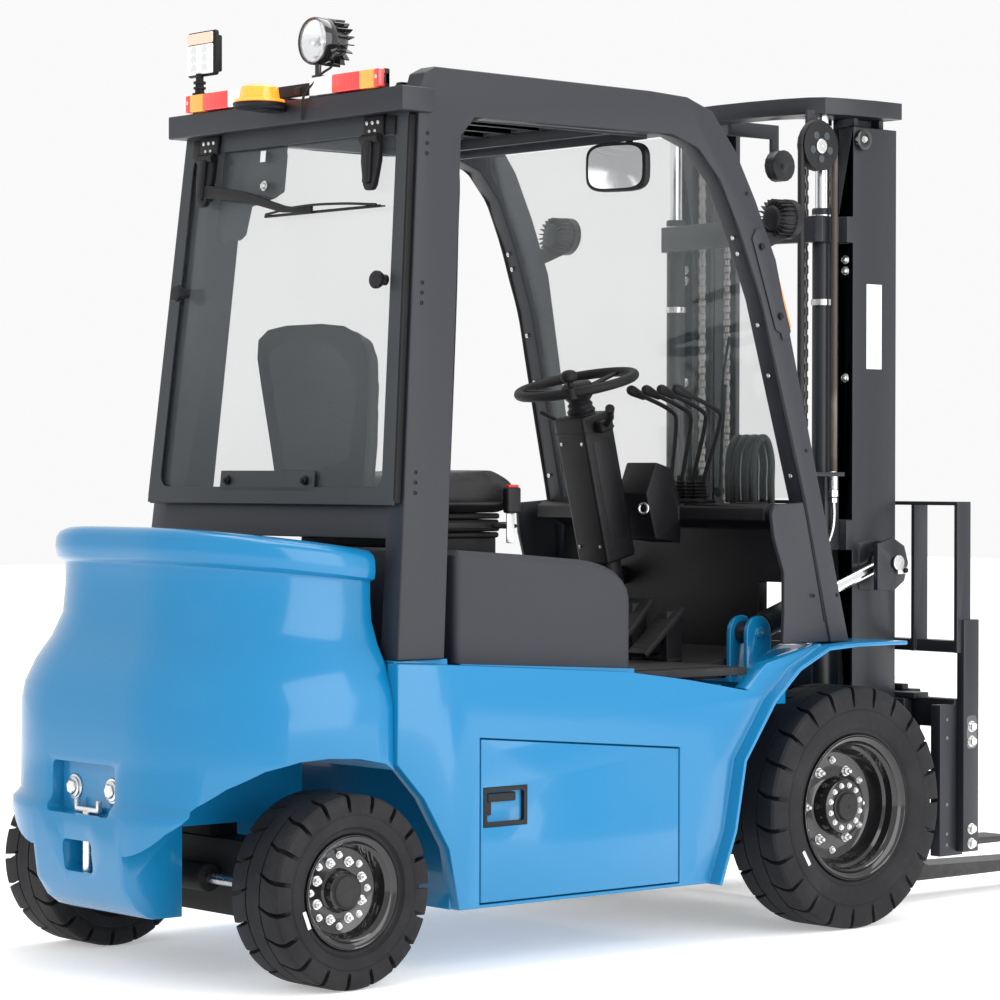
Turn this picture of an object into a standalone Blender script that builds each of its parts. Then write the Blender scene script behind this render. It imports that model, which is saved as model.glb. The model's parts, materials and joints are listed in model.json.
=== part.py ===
"""Counterbalance forklift, four wheels, two-stage mast and side shift. Metres, +Z up, +Y ahead, +X to the right.

Every place below is written from the front axle: y is 0 on that axle and z is 0 on the ground. The whole
truck hangs on one empty that moves it so the origin is under the middle of its length.
"""

from math import cos, pi, sin

import bmesh
import bpy
from mathutils import Matrix, Vector

for old in list(bpy.data.objects):
    bpy.data.objects.remove(old, do_unlink=True)

# ---- driving dimensions -------------------------------------------------------------------
WHEELBASE = 1.649
FRONT_TYRE_D, FRONT_TYRE_W, FRONT_RIM_R, FRONT_TRACK = 0.632, 0.175, 0.189, 1.003
REAR_TYRE_D, REAR_TYRE_W, REAR_RIM_R, REAR_TRACK = 0.450, 0.180, 0.131, 0.956
FORK_LENGTH, FORK_WIDTH, FORK_THICK, FORK_SPREAD = 1.070, 0.122, 0.040, 0.250
FORK_RAISED = 0.057  # underside of the forks over the ground, as it stands
MAST_TOP, CARRIAGE_HALF = 2.196, 0.520
GUARD_TOP, GUARD_HALF = 2.149, 0.475
BODY_HALF, FENDER_HALF = 0.550, 0.590
WEIGHT_HALF, WEIGHT_REAR = 0.575, -2.030
FLOOR_TOP = 0.690
GAP = 0.0003  # between pieces that rest on each other
RUN = 0.006  # between pieces that move past each other

REAR_AXLE = -WHEELBASE
FRONT_Z, REAR_Z = FRONT_TYRE_D / 2, REAR_TYRE_D / 2
SHANK_Y = 0.507  # rear face of the fork shanks
FORK_TIP = SHANK_Y + FORK_THICK + FORK_LENGTH - 0.030
ORIGIN_Y = -(FORK_TIP + WEIGHT_REAR) / 2

truck = bpy.data.objects.new("truck_origin", None)
bpy.context.collection.objects.link(truck)
truck.location = (0, ORIGIN_Y, 0)

COLOURS = {
    "blue": ((0.030, 0.330, 0.760), 0.28, 0.0),
    "black_paint": ((0.035, 0.037, 0.042), 0.45, 0.0),
    "black_plastic": ((0.022, 0.023, 0.026), 0.55, 0.0),
    "vinyl": ((0.020, 0.020, 0.022), 0.60, 0.0),
    "rubber": ((0.030, 0.030, 0.032), 0.80, 0.0),
    "steel": ((0.550, 0.560, 0.580), 0.30, 1.0),
    "chrome": ((0.800, 0.800, 0.820), 0.12, 1.0),
    "glass": ((0.550, 0.620, 0.620), 0.05, 0.0),
    "amber": ((0.950, 0.380, 0.030), 0.25, 0.0),
    "lamp_red": ((0.700, 0.050, 0.040), 0.25, 0.0),
    "mirror": ((0.850, 0.870, 0.880), 0.05, 1.0),
    "nylon": ((0.620, 0.640, 0.630), 0.40, 0.0),
}


def paint(name):
    if name in bpy.data.materials:
        return bpy.data.materials[name]
    colour, rough, metal = COLOURS[name]
    made = bpy.data.materials.new(name)
    made.use_nodes = True
    shader = made.node_tree.nodes["Principled BSDF"]
    shader.inputs["Base Color"].default_value = (*colour, 1)
    shader.inputs["Roughness"].default_value = rough
    shader.inputs["Metallic"].default_value = metal
    made.diffuse_color = (*colour, 1)
    return made


# ---- shapes, as plain meshes ---------------------------------------------------------------
def finish_mesh(bm):
    bmesh.ops.remove_doubles(bm, verts=bm.verts, dist=1e-6)
    bmesh.ops.recalc_face_normals(bm, faces=bm.faces)
    if bm.calc_volume(signed=True) < 0:
        bmesh.ops.reverse_faces(bm, faces=bm.faces)
    mesh = bpy.data.meshes.new("shape")
    bm.to_mesh(mesh)
    bm.free()
    return mesh


def loft(rings):
    """A closed solid through rings that have the same number of points."""
    bm = bmesh.new()
    made = [[bm.verts.new(point) for point in ring] for ring in rings]
    count = len(made[0])
    for low, high in zip(made, made[1:]):
        for i in range(count):
            j = (i + 1) % count
            bm.faces.new((low[i], low[j], high[j], high[i]))
    bm.faces.new(made[0])
    bm.faces.new(made[-1])
    return finish_mesh(bm)


def prism(outline, axis, low, high):
    """An outline drawn across an axis and pulled along it. X takes (y, z), Y takes (x, z), Z takes (x, y)."""
    place = {
        "X": lambda a, b, c: (c, a, b),
        "Y": lambda a, b, c: (a, c, b),
        "Z": lambda a, b, c: (a, b, c),
    }[axis]
    return loft([[place(a, b, c) for a, b in outline] for c in (low, high)])


def box(x0, x1, y0, y1, z0, z1):
    return prism([(x0, y0), (x1, y0), (x1, y1), (x0, y1)], "Z", z0, z1)


def turned(profile, centre, axis, steps):
    """A closed profile of (along, radius) turned about an axis through a centre. Points on the axis are one."""
    across, up = {
        "X": (Vector((0, 1, 0)), Vector((0, 0, -1))),
        "Y": (Vector((1, 0, 0)), Vector((0, 0, -1))),
        "Z": (Vector((1, 0, 0)), Vector((0, 1, 0))),
    }[axis[-1]]
    along = Vector([float(letter == axis[-1]) for letter in "XYZ"]) * (-1 if "-" in axis else 1)
    bm = bmesh.new()
    columns = []
    for place, radius in profile:
        middle = Vector(centre) + along * place
        if radius < 1e-6:
            columns.append([bm.verts.new(middle)] * steps)
            continue
        angles = [2 * pi * i / steps for i in range(steps)]
        columns.append([bm.verts.new(middle + radius * (up * cos(a) + across * sin(a))) for a in angles])
    for one, two in zip(columns, columns[1:] + columns[:1]):
        for i in range(steps):
            j = (i + 1) % steps
            corners = [one[i], one[j], two[j], two[i]]
            corners = [c for k, c in enumerate(corners) if c not in corners[:k]]
            if len(corners) > 2:
                bm.faces.new(corners)
    return finish_mesh(bm)


def rod(start, end, radius, steps=12):
    """A round bar between two points."""
    start, end = Vector(start), Vector(end)
    turn = (end - start).to_track_quat("Z", "Y").to_matrix()
    rings = []
    for centre in (start, end):
        angles = [2 * pi * i / steps for i in range(steps)]
        rings.append([centre + turn @ Vector((radius * cos(a), radius * sin(a), 0)) for a in angles])
    return loft(rings)


def disc(centre, axis, radius, low, high, steps=16):
    return turned([(low, 0), (high, 0), (high, radius), (low, radius)], centre, axis, steps)


def sweep(path, half_wide, half_thick):
    """A flat bar along a path in the plane across X: half_wide runs along X, half_thick across the path."""
    rings = []
    for i, (x, y, z) in enumerate(path):
        back, ahead = Vector(path[max(i - 1, 0)]), Vector(path[min(i + 1, len(path) - 1)])
        run = (ahead - back).normalized()
        out = Vector((0, -run.z, run.y)) * half_thick
        here = Vector((x, y, z))
        side = Vector((half_wide, 0, 0))
        rings.append([here - side - out, here + side - out, here + side + out, here - side + out])
    return loft(rings)


def tube(path, radius, steps=8):
    """A round hose along a path in one plane across X."""
    rings = []
    for i, point in enumerate(path):
        back, ahead = Vector(path[max(i - 1, 0)]), Vector(path[min(i + 1, len(path) - 1)])
        run = (ahead - back).normalized()
        side, out = Vector((1, 0, 0)), Vector((0, -run.z, run.y))
        angles = [2 * pi * k / steps for k in range(steps)]
        rings.append([Vector(point) + radius * (side * cos(a) + out * sin(a)) for a in angles])
    return loft(rings)


def mirrored(mesh):
    bm = bmesh.new()
    bm.from_mesh(mesh)
    bmesh.ops.transform(bm, matrix=Matrix.Scale(-1, 4, (1, 0, 0)), verts=bm.verts)
    return finish_mesh(bm)


def both(*meshes):
    return [copy for mesh in meshes for copy in (mesh, mirrored(mesh))]


def combine(first, others, operation):
    """The solid left when the others are joined to, or cut from, the first."""
    helpers = [bpy.data.objects.new("helper", mesh) for mesh in (first, *others)]
    for helper in helpers:
        bpy.context.collection.objects.link(helper)
    body = helpers[0]
    for helper in helpers[1:]:
        modifier = body.modifiers.new("step", "BOOLEAN")
        modifier.object = helper
        modifier.operation = operation
        modifier.solver = "MANIFOLD"  # faces that lie on each other leave the exact solver with open edges
    graph = bpy.context.evaluated_depsgraph_get()
    result = bpy.data.meshes.new_from_object(body.evaluated_get(graph))
    for helper in helpers:
        bpy.data.objects.remove(helper, do_unlink=True)
    return result


def join(*meshes):
    return combine(meshes[0], meshes[1:], "UNION")


def cut(mesh, *cutters):
    return combine(mesh, cutters, "DIFFERENCE")


def node(name, mesh, colour, pivot=(0, 0, 0)):
    """One sub-part, with its object's origin on its joint's axis, hung on the truck's empty."""
    shape = mesh.copy()
    shape.transform(Matrix.Translation(-Vector(pivot)))
    shape.materials.clear()
    shape.materials.append(paint(colour))
    made = bpy.data.objects.new(name, shape)
    bpy.context.collection.objects.link(made)
    made.parent = truck
    made.location = pivot
    shape.shade_smooth()
    shape.set_sharp_from_angle(angle=0.6)
    return made


def pair(name, mesh, colour, pivot=(0, 0, 0)):
    """A right-hand piece and its left-hand mirror image."""
    node(name + "_right", mesh, colour, pivot)
    node(name + "_left", mirrored(mesh), colour, (-pivot[0], pivot[1], pivot[2]))


# ---- wheels --------------------------------------------------------------------------------
WHEEL_STEPS = 24
HUB_BORE = 0.0306
STUB_R = 0.030


def tyre(radius, width, rim_r, centre):
    half, crown = width / 2, radius - 0.012
    wall = rim_r + 0.45 * (crown - rim_r)
    profile = [
        (-half * 0.86, rim_r), (half * 0.86, rim_r), (half, wall), (half * 0.94, crown), (half * 0.80, radius),
        (-half * 0.80, radius), (-half * 0.94, crown), (-half, wall),
    ]
    return turned(profile, centre, "X", WHEEL_STEPS)


def rim(width, rim_r, dish, hub_out, hub_r, centre):
    """Deep-dish rim: barrel, disc set back by the dish, hub that stands out, blind bore behind for the stub."""
    half, outer, barrel = width / 2, rim_r - GAP, rim_r - 0.018
    face = half - dish
    profile = [
        (hub_out, 0), (hub_out, hub_r * 0.62), (hub_out - 0.02, hub_r), (face, hub_r), (face, barrel - 0.012),
        (half * 0.80, barrel), (half * 0.88, outer), (-half * 0.88, outer), (-half * 0.88, barrel),
        (face - 0.012, barrel - 0.012), (face - 0.012, HUB_BORE), (hub_out - 0.022, HUB_BORE), (hub_out - 0.022, 0),
    ]
    return turned(profile, centre, "X", WHEEL_STEPS)


FRONT_DISH, FRONT_HUB = 0.095, 0.040
REAR_DISH, REAR_HUB = 0.060, 0.068
front_centre = (FRONT_TRACK / 2, 0, FRONT_Z)
rear_centre = (REAR_TRACK / 2, REAR_AXLE, REAR_Z)
front_tyre = tyre(FRONT_Z, FRONT_TYRE_W, FRONT_RIM_R, front_centre)
rear_tyre = tyre(REAR_Z, REAR_TYRE_W, REAR_RIM_R, rear_centre)
pair("front_tyre", front_tyre, "rubber", front_centre)
pair("rear_tyre", rear_tyre, "rubber", rear_centre)
pair("front_rim", rim(FRONT_TYRE_W, FRONT_RIM_R, FRONT_DISH, FRONT_HUB, 0.078, front_centre), "black_paint", front_centre)
pair("rear_rim", rim(REAR_TYRE_W, REAR_RIM_R, REAR_DISH, REAR_HUB, 0.055, rear_centre), "black_paint", rear_centre)

# ---- drive axle ----------------------------------------------------------------------------
AXLE_R = 0.075
DRUM_R, DRUM_IN, DRUM_OUT = 0.120, 0.360, 0.466
stub_end = FRONT_TRACK / 2 + FRONT_HUB - 0.022 - GAP
axle_half = turned(
    [(-0.01, 0), (stub_end, 0), (stub_end, STUB_R), (DRUM_OUT, STUB_R), (DRUM_OUT, DRUM_R), (DRUM_IN, DRUM_R),
     (DRUM_IN - 0.02, AXLE_R), (0.14, AXLE_R), (0.09, 0.125), (-0.01, 0.125)],
    (0, 0, FRONT_Z), "X", 24,
)
MOTOR_Y, MOTOR_R = -0.205, 0.105
motor = turned([(-0.23, 0), (0.23, 0), (0.23, 0.09), (0.21, MOTOR_R), (-0.21, MOTOR_R), (-0.23, 0.09)],
               (0, MOTOR_Y, FRONT_Z + 0.01), "X", 16)
gearcase = box(-0.07, 0.07, MOTOR_Y, 0.0, FRONT_Z - 0.09, FRONT_Z + 0.10)
node("drive_axle", join(axle_half, mirrored(axle_half), motor, gearcase), "black_paint")

# ---- steered axle --------------------------------------------------------------------------
KINGPIN_X = 0.355
ARM_R, BARREL_R = 0.030, 0.028
KNUCKLE_LOW, KNUCKLE_HIGH = 0.161, 0.289
STEER_ARM = 0.085
CYL_Y = REAR_AXLE - STEER_ARM
WELL_TOP, SADDLE_TOP = 0.530, 0.3597


def fork_arm(low, high):
    bar = box(0.24, KINGPIN_X, REAR_AXLE - 0.030, REAR_AXLE + 0.030, low, high)
    end = disc((KINGPIN_X, REAR_AXLE, 0), "Z", ARM_R, low, high)
    return join(bar, end)


beam = box(-0.295, 0.295, REAR_AXLE - 0.045, REAR_AXLE + 0.045, KNUCKLE_LOW - 0.026, KNUCKLE_HIGH + 0.026)
beam = cut(beam, *both(box(0.215, 0.30, REAR_AXLE - 0.1, REAR_AXLE + 0.1, KNUCKLE_LOW - GAP, KNUCKLE_HIGH + GAP)))
arms = both(fork_arm(KNUCKLE_LOW - 0.026, KNUCKLE_LOW - GAP), fork_arm(KNUCKLE_HIGH + GAP, KNUCKLE_HIGH + 0.026))
saddle = box(-0.06, 0.06, REAR_AXLE - 0.04, REAR_AXLE + 0.04, KNUCKLE_HIGH, SADDLE_TOP)
CYL_R, ROD_R = 0.034, 0.0130
cyl_body = turned([(-0.120, ROD_R + 0.0005), (0.120, ROD_R + 0.0005), (0.120, CYL_R), (-0.120, CYL_R)],
                  (0, CYL_Y, REAR_Z), "X", 16)
cyl_foot = cut(box(-0.08, 0.08, CYL_Y, REAR_AXLE - 0.04, REAR_Z - 0.028, REAR_Z + 0.028),
               disc((0, CYL_Y, REAR_Z), "X", CYL_R - 0.004, -0.2, 0.2))
node("steer_axle", join(beam, *arms, saddle, cyl_foot, cyl_body), "black_paint")

LINK_X, LINK_TOP = 0.250, REAR_Z + 0.012
rod_bar = disc((0, CYL_Y, REAR_Z), "X", ROD_R, -LINK_X, LINK_X)
links = both(join(
    disc((LINK_X, CYL_Y, REAR_Z), "Z", 0.020, -0.012, 0.012),
    box(LINK_X, KINGPIN_X - 0.02, CYL_Y - 0.009, CYL_Y + 0.009, REAR_Z - 0.008, REAR_Z + 0.008),
    disc((KINGPIN_X - 0.02, CYL_Y, REAR_Z), "Z", 0.018, -0.012, 0.012),
))
node("steering_rod", join(rod_bar, *links), "steel")

arm_end = (KINGPIN_X - 0.02, CYL_Y)
knuckle_arm = join(
    disc((*arm_end, 0), "Z", 0.019, LINK_TOP + RUN, LINK_TOP + RUN + 0.018),
    prism([(KINGPIN_X - 0.025, REAR_AXLE), (arm_end[0] - 0.012, CYL_Y), (arm_end[0] + 0.012, CYL_Y),
           (KINGPIN_X + 0.022, REAR_AXLE)], "Z", LINK_TOP + RUN, LINK_TOP + RUN + 0.018),
)
rear_stub_end = REAR_TRACK / 2 + REAR_HUB - 0.022 - GAP
knuckle = join(
    disc((KINGPIN_X, REAR_AXLE, 0), "Z", BARREL_R, KNUCKLE_LOW, KNUCKLE_HIGH),
    turned([(KINGPIN_X, 0), (rear_stub_end, 0), (rear_stub_end, STUB_R), (KINGPIN_X + 0.055, STUB_R),
            (KINGPIN_X + 0.040, 0.055), (KINGPIN_X + 0.034, 0.055), (KINGPIN_X + 0.020, 0.034), (KINGPIN_X, 0.034)],
           (0, REAR_AXLE, REAR_Z), "X", 16),
    knuckle_arm,
)
pair("steering_knuckle", knuckle, "black_paint", (KINGPIN_X, REAR_AXLE, REAR_Z))

# ---- frame ---------------------------------------------------------------------------------
WALL = 0.040
INNER = BODY_HALF - WALL
FRAME_LOW = 0.155
WEIGHT_SEAM = -1.510
DOOR = {"rear": -1.260, "front": -0.605, "low": 0.163, "high_rear": 0.559, "high_front": 0.503}
DOOR_THICK = 0.020
FENDER_TOP = 0.745
fender_line = [(-0.505, FRAME_LOW), (-0.452, 0.289), (-0.418, 0.463), (-0.311, 0.610), (-0.220, 0.688),
               (-0.110, 0.738), (0.000, FENDER_TOP), (0.187, FENDER_TOP)]
arch_line = [(-1.322, FRAME_LOW), (-1.353, 0.302), (-1.429, 0.424), (WEIGHT_SEAM + GAP, 0.508)]
wall_outline = (
    arch_line
    + [(WEIGHT_SEAM + GAP, 0.742), (-1.359, 0.735), (-0.783, 0.697), (-0.572, 0.669), (-0.378, 0.636)]
    + [(-0.300, 0.630), (-0.311, 0.610), (-0.418, 0.463), (-0.452, 0.289), (-0.505, FRAME_LOW)]
)


def door_outline(shrink):
    return [
        (DOOR["rear"] + shrink, DOOR["low"] + shrink), (DOOR["front"] - shrink, DOOR["low"] + shrink),
        (DOOR["front"] - shrink, DOOR["high_front"] - shrink), (DOOR["rear"] + shrink, DOOR["high_rear"] - shrink),
    ]


side_wall = prism(wall_outline, "X", INNER, BODY_HALF)
side_wall = cut(
    side_wall,
    prism(door_outline(0), "X", BODY_HALF - DOOR_THICK - 0.001, BODY_HALF + 0.02),
    prism(door_outline(0.022), "X", INNER - 0.02, BODY_HALF),
)


def thick_line(points, thick):
    """The outline of a bent strip of even thickness, drawn on the lower and front side of a line."""
    inner = []
    for i, (y, z) in enumerate(points):
        back, ahead = points[max(i - 1, 0)], points[min(i + 1, len(points) - 1)]
        run = Vector((ahead[0] - back[0], ahead[1] - back[1])).normalized()
        inner.append((y + run.y * thick, z - run.x * thick))
    return points + inner[::-1]


FENDER_IN = 0.400
fender = prism(thick_line(fender_line, 0.010), "X", FENDER_IN, FENDER_HALF)
fender_side = prism(
    [(-0.300, 0.600), (-0.378, 0.640), (-0.300, 0.700), (-0.10, FENDER_TOP), (-0.10, 0.735), (-0.215, 0.680)],
    "X", INNER, BODY_HALF,
)
CLEVIS = Vector((0.370, -0.185, 0.770))
EAR_GAP, EAR_THICK, EAR_R, PIN_R = 0.0245, 0.014, 0.045, 0.014
ear_outline = [(CLEVIS.y + EAR_R * cos(a * pi / 8), CLEVIS.z + EAR_R * sin(a * pi / 8)) for a in range(9)]
ear_outline += [(CLEVIS.y - EAR_R, 0.600), (CLEVIS.y + EAR_R, 0.600)]
ears = [
    prism(ear_outline, "X", CLEVIS.x + side * EAR_GAP, CLEVIS.x + side * (EAR_GAP + EAR_THICK)) for side in (-1, 1)
]
ear_pin = disc((CLEVIS.x, CLEVIS.y, CLEVIS.z), "X", PIN_R, -EAR_GAP - EAR_THICK - 0.006, EAR_GAP + EAR_THICK + 0.006)
ear_base = box(0.3255, INNER + 0.01, CLEVIS.y - 0.13, CLEVIS.y - 0.015, 0.592, 0.650)
tray = box(-INNER - 0.01, INNER + 0.01, -1.300, -0.470, FRAME_LOW, 0.175)
rear_wall = box(-INNER - 0.01, INNER + 0.01, -1.330, -1.300, FRAME_LOW, 0.700)
front_wall = box(-INNER - 0.01, INNER + 0.01, -0.500, -0.465, FRAME_LOW + 0.002, 0.625)
deck_beam = box(-0.400, 0.400, -0.480, -0.275, 0.592, 0.640)
axle_plates = both(join(
    box(0.170, 0.240, -0.475, -0.055, 0.420, 0.600),
    box(0.170, 0.240, -0.075, 0.100, 0.380, 0.600),
))
axle_plates = [cut(plate, disc((0, 0, FRONT_Z), "X", AXLE_R + GAP * 2, -0.5, 0.5, 24),
                   disc((0, MOTOR_Y, FRONT_Z + 0.01), "X", MOTOR_R + 0.006, -0.5, 0.5, 24)) for plate in axle_plates]
pillar_seat = box(0.455, INNER + 0.01, -1.495, -1.335, 0.690, 0.7477)
hood_ledge = prism([(-1.290, 0.660), (-1.290, 0.7328), (-0.728, 0.7022), (-0.728, 0.660)], "X", 0.462, INNER + 0.005)
frame_half = both(side_wall, fender, fender_side, *ears, ear_pin, ear_base, pillar_seat, hood_ledge)
node("chassis_frame", join(tray, rear_wall, front_wall, deck_beam, *axle_plates, *frame_half), "blue")

door_skin = prism(door_outline(0.004), "X", BODY_HALF - DOOR_THICK - 0.0007, BODY_HALF - 0.0007)
pocket = box(BODY_HALF - 0.012, BODY_HALF + 0.01, DOOR["rear"] + 0.012, DOOR["rear"] + 0.150, 0.345, 0.440)
DOOR_HINGE = (BODY_HALF, DOOR["front"], 0.340)
pair("side_door", cut(door_skin, pocket), "blue", DOOR_HINGE)

battery = box(-0.400, 0.400, -1.290, -0.620, 0.175 + GAP, 0.640)
node("battery", battery, "black_plastic")

floor_outline = [(-0.7150, 0.672), (-0.7150, FLOOR_TOP), (-0.275, FLOOR_TOP), (-0.105, 0.725), (-0.105, 0.705),
                 (-0.275, 0.6403), (-0.715, 0.6403)]
floor_plate = prism(floor_outline, "X", -0.320, 0.320)
floor_sides = box(-INNER + GAP, INNER - GAP, -0.715, -0.330, 0.672, FLOOR_TOP)
node("floor_plate", join(floor_plate, floor_sides), "rubber")

# ---- counterweight -------------------------------------------------------------------------
CORNER_R = 0.385
WEIGHT_TOP = 1.075
ARC_STEPS = 7


def weight_ring(height, inset, tilt):
    """The plan outline at one height, moved in by the inset. The tilt lowers it towards the cab."""
    half, rear, radius = WEIGHT_HALF - inset, WEIGHT_REAR + inset, CORNER_R - inset / 2
    right = [(half, WEIGHT_SEAM - GAP)]
    for i in range(ARC_STEPS + 1):
        angle = pi / 2 * i / ARC_STEPS
        right.append((half - radius + radius * cos(angle), rear + radius - radius * sin(angle)))
    outline = right + [(-x, y) for x, y in reversed(right)]
    return [(x, y, height - tilt * (y - WEIGHT_REAR)) for x, y in outline]


weight_levels = [
    (0.150, 0.085, 0), (0.180, 0.038, 0), (0.226, 0.009, 0), (0.300, 0, 0), (0.400, 0, 0), (0.430, 0.018, 0),
    (0.670, 0.023, 0), (0.735, 0.050, 0), (0.790, 0.085, 0), (0.850, 0.105, 0.02), (0.985, 0.107, 0.10),
    (1.000, 0.092, 0.13), (1.045, 0.088, 0.13), (1.066, 0.100, 0.13), (WEIGHT_TOP, 0.135, 0.13),
]
weight = loft([weight_ring(*level) for level in weight_levels])
well_line = [(-2.100, 0.100), (-2.030, 0.300), (-1.962, 0.413), (-1.837, 0.506), (-1.695, 0.532), (-1.534, 0.512),
             (-1.429, 0.424), (-1.300, 0.100)]
well = prism(well_line, "X", 0.185, 0.700)
channel = box(-0.410, 0.410, -1.860, -1.400, 0.100, SADDLE_TOP + GAP)
recess = prism([(-0.130, 0.385), (0.130, 0.385), (0.130, 0.505), (-0.130, 0.505)], "Y", -2.1, WEIGHT_REAR + 0.050)
slot = box(-0.060, 0.060, -2.1, WEIGHT_REAR + 0.085, 0.250, 0.325)
TOW_R = 0.013
TOW_Y = WEIGHT_REAR + 0.032
tow_hole = disc((0, TOW_Y, 0), "Z", TOW_R + 0.0006, 0.228, 0.4)
node("counterweight", cut(weight, *both(well), channel, recess, slot, tow_hole), "blue")

pin_body = disc((0, TOW_Y, 0), "Z", TOW_R, 0.2285, 0.392)
handle = join(
    box(-0.050, 0.050, TOW_Y - 0.006, TOW_Y + 0.006, 0.388, 0.400),
    *both(box(0.040, 0.050, TOW_Y - 0.006, TOW_Y + 0.006, 0.388, 0.418)),
)
node("tow_pin", join(pin_body, handle), "steel")

# ---- overhead guard ------------------------------------------------------------------------
PILLAR_REAR, PILLAR_FRONT, PILLAR_SLOPE = -1.431, -1.306, 0.0444
LEAN_Z, LEAN_OUT, LEAN_RATE, LEAN_BACK = 1.100, 0.0345, 0.0559, 0.86
GUARD_IN = GUARD_HALF - 0.060
LEG_FOOT = 0.7483 - 0.0025


def lean(mesh, back=LEAN_BACK, slope=0.0):
    """Splays the guard's sides towards the ground, and sets them back as they widen."""
    shape = mesh.copy()
    for vertex in shape.vertices:
        out = LEAN_OUT - (vertex.co.z - LEAN_Z) * LEAN_RATE
        vertex.co.y += (vertex.co.z - LEAN_Z) * slope - back * out
        vertex.co.x *= 1 + out / GUARD_HALF
    return shape


def pillar_rear(z):
    return PILLAR_REAR + (z - LEAN_Z) * PILLAR_SLOPE


outer_edge = [
    (pillar_rear(0.7480), 0.7480), (pillar_rear(2.090), 2.090), (-1.374, 2.132), (-1.340, GUARD_TOP), (-0.640, GUARD_TOP - 0.004),
    (-0.510, 2.139), (-0.422, 2.109), (-0.339, 2.013), (-0.267, 1.889), (-0.193, 1.738), (-0.099, 1.377),
    (-0.023, 1.090), (0.073, LEG_FOOT),
]
inner_edge = [
    (0.005, LEG_FOOT), (-0.087, 1.116), (-0.168, 1.377), (-0.247, 1.633), (-0.325, 1.809), (-0.393, 1.933),
    (-0.470, 2.010), (-0.560, 2.040), (-1.215, 2.036), (-1.258, 1.990), (PILLAR_FRONT, 0.7480),
]
guard_side = lean(prism(outer_edge + inner_edge, "X", GUARD_IN, GUARD_HALF))
front_bar = prism([(-0.580, 2.055), (-0.580, 2.130), (-0.505, 2.125), (-0.455, 2.095), (-0.455, 2.050)], "X",
                  -GUARD_IN - 0.005, GUARD_IN + 0.005)
rear_bar = box(-GUARD_HALF, GUARD_HALF, -1.440, -1.340, 2.036, 2.094)
low_bar = lean(box(-GUARD_IN - 0.005, GUARD_IN + 0.005, PILLAR_REAR, -1.396, 1.030, 1.125), slope=PILLAR_SLOPE)
gusset_line = [(-0.205, 1.080), (-0.193, 1.104), (-0.070, 1.112), (0.020, LEG_FOOT), (-0.165, LEG_FOOT),
               (-0.160, 0.830), (-0.160, 0.930), (-0.195, 1.020)]
gussets = both(lean(prism(gusset_line, "X", 0.456, 0.468)))
guard = join(guard_side, mirrored(guard_side), front_bar, rear_bar, low_bar, *gussets)
node("overhead_guard", guard, "black_paint")

ROOF_BARS, BAR_WIDE = 7, 0.022
bars = []
for i in range(ROOF_BARS):
    x = (i - (ROOF_BARS - 1) / 2) * 0.113
    bars.append(box(x - BAR_WIDE / 2, x + BAR_WIDE / 2, -1.3397, -0.5803, 2.080, 2.120))
TIE_HALF = 0.3955
ties = [box(-TIE_HALF, TIE_HALF, y, y + 0.020, 2.082, 2.112) for y in (-1.3395, -0.6005)]
node("roof_bars", join(*ties, *bars), "black_paint")

# ---- glass ---------------------------------------------------------------------------------
PANE_HALF, PANE_LOW, PANE_HIGH = 0.466, 1.113, 2.033
pane_rear, pane_front = PILLAR_REAR - GAP - 0.022, PILLAR_REAR - GAP


def frame_ring(shrink, low, high):
    half = PANE_HALF - shrink
    return box(-half, half, low, high, PANE_LOW + shrink, PANE_HIGH - shrink)


window_frame = cut(frame_ring(0, pane_rear, pane_front), frame_ring(0.026, -2, 0))
node("rear_window_frame", lean(window_frame, slope=PILLAR_SLOPE), "black_plastic")
window = frame_ring(0.026 + GAP, pane_rear + 0.006, pane_rear + 0.012)
node("rear_window", lean(window, slope=PILLAR_SLOPE), "glass")

WINDSCREEN_LINE = [(-0.076, 1.1203), (-0.156, 1.377), (-0.235, 1.633), (-0.313, 1.809), (-0.381, 1.933),
                   (-0.4547, 2.046)]
windscreen = prism(thick_line(WINDSCREEN_LINE, 0.006), "X", -GUARD_IN + GAP, GUARD_IN - GAP)
node("windscreen", lean(windscreen), "glass")

# ---- dash, steering and controls -----------------------------------------------------------
DASH_HALF = GUARD_IN - GAP
dash_outline = [(-0.207, 1.062), (-0.207, 1.095), (-0.190, 1.106), (-0.080, 1.106), (-0.070, 1.100), (-0.070, 0.720),
                (-0.104, 0.720), (-0.104, 1.040), (-0.150, 1.062)]
pod_outline = [(-0.200, 1.000), (-0.290, 1.010), (-0.326, 1.130), (-0.290, 1.215), (-0.235, 1.200), (-0.195, 1.105)]
pod = prism(pod_outline, "X", 0.012, 0.128)
dash = join(lean(prism(dash_outline, "X", -DASH_HALF, DASH_HALF), back=0.0), pod)
tilt_way = both(box(0.325, 0.500, -0.300, 0.100, 0.600, 0.900))
node("dash", cut(dash, *tilt_way), "black_plastic")

WHEEL_CENTRE = Vector((0, -0.460, 1.420))
COLUMN_FOOT = Vector((0, -0.285, FLOOR_TOP + 0.012))
COLUMN = (WHEEL_CENTRE - COLUMN_FOOT).normalized()
column_top = WHEEL_CENTRE - COLUMN * 0.0390


def along(distance, dy=0.0, dz=0.0):
    """A point on the steering column, so far below the wheel's centre."""
    return WHEEL_CENTRE - COLUMN * distance + Vector((0, dy, dz))


pod_turn = COLUMN.to_track_quat("Z", "Y").to_matrix().to_4x4()


def turned_box(half_x, half_y, low, high):
    """A box in the column's own frame, low and high counted down from the wheel's centre."""
    shape = box(-half_x, half_x, -half_y, half_y, -low, -high)
    shape.transform(Matrix.Translation(WHEEL_CENTRE) @ pod_turn)
    return shape


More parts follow.
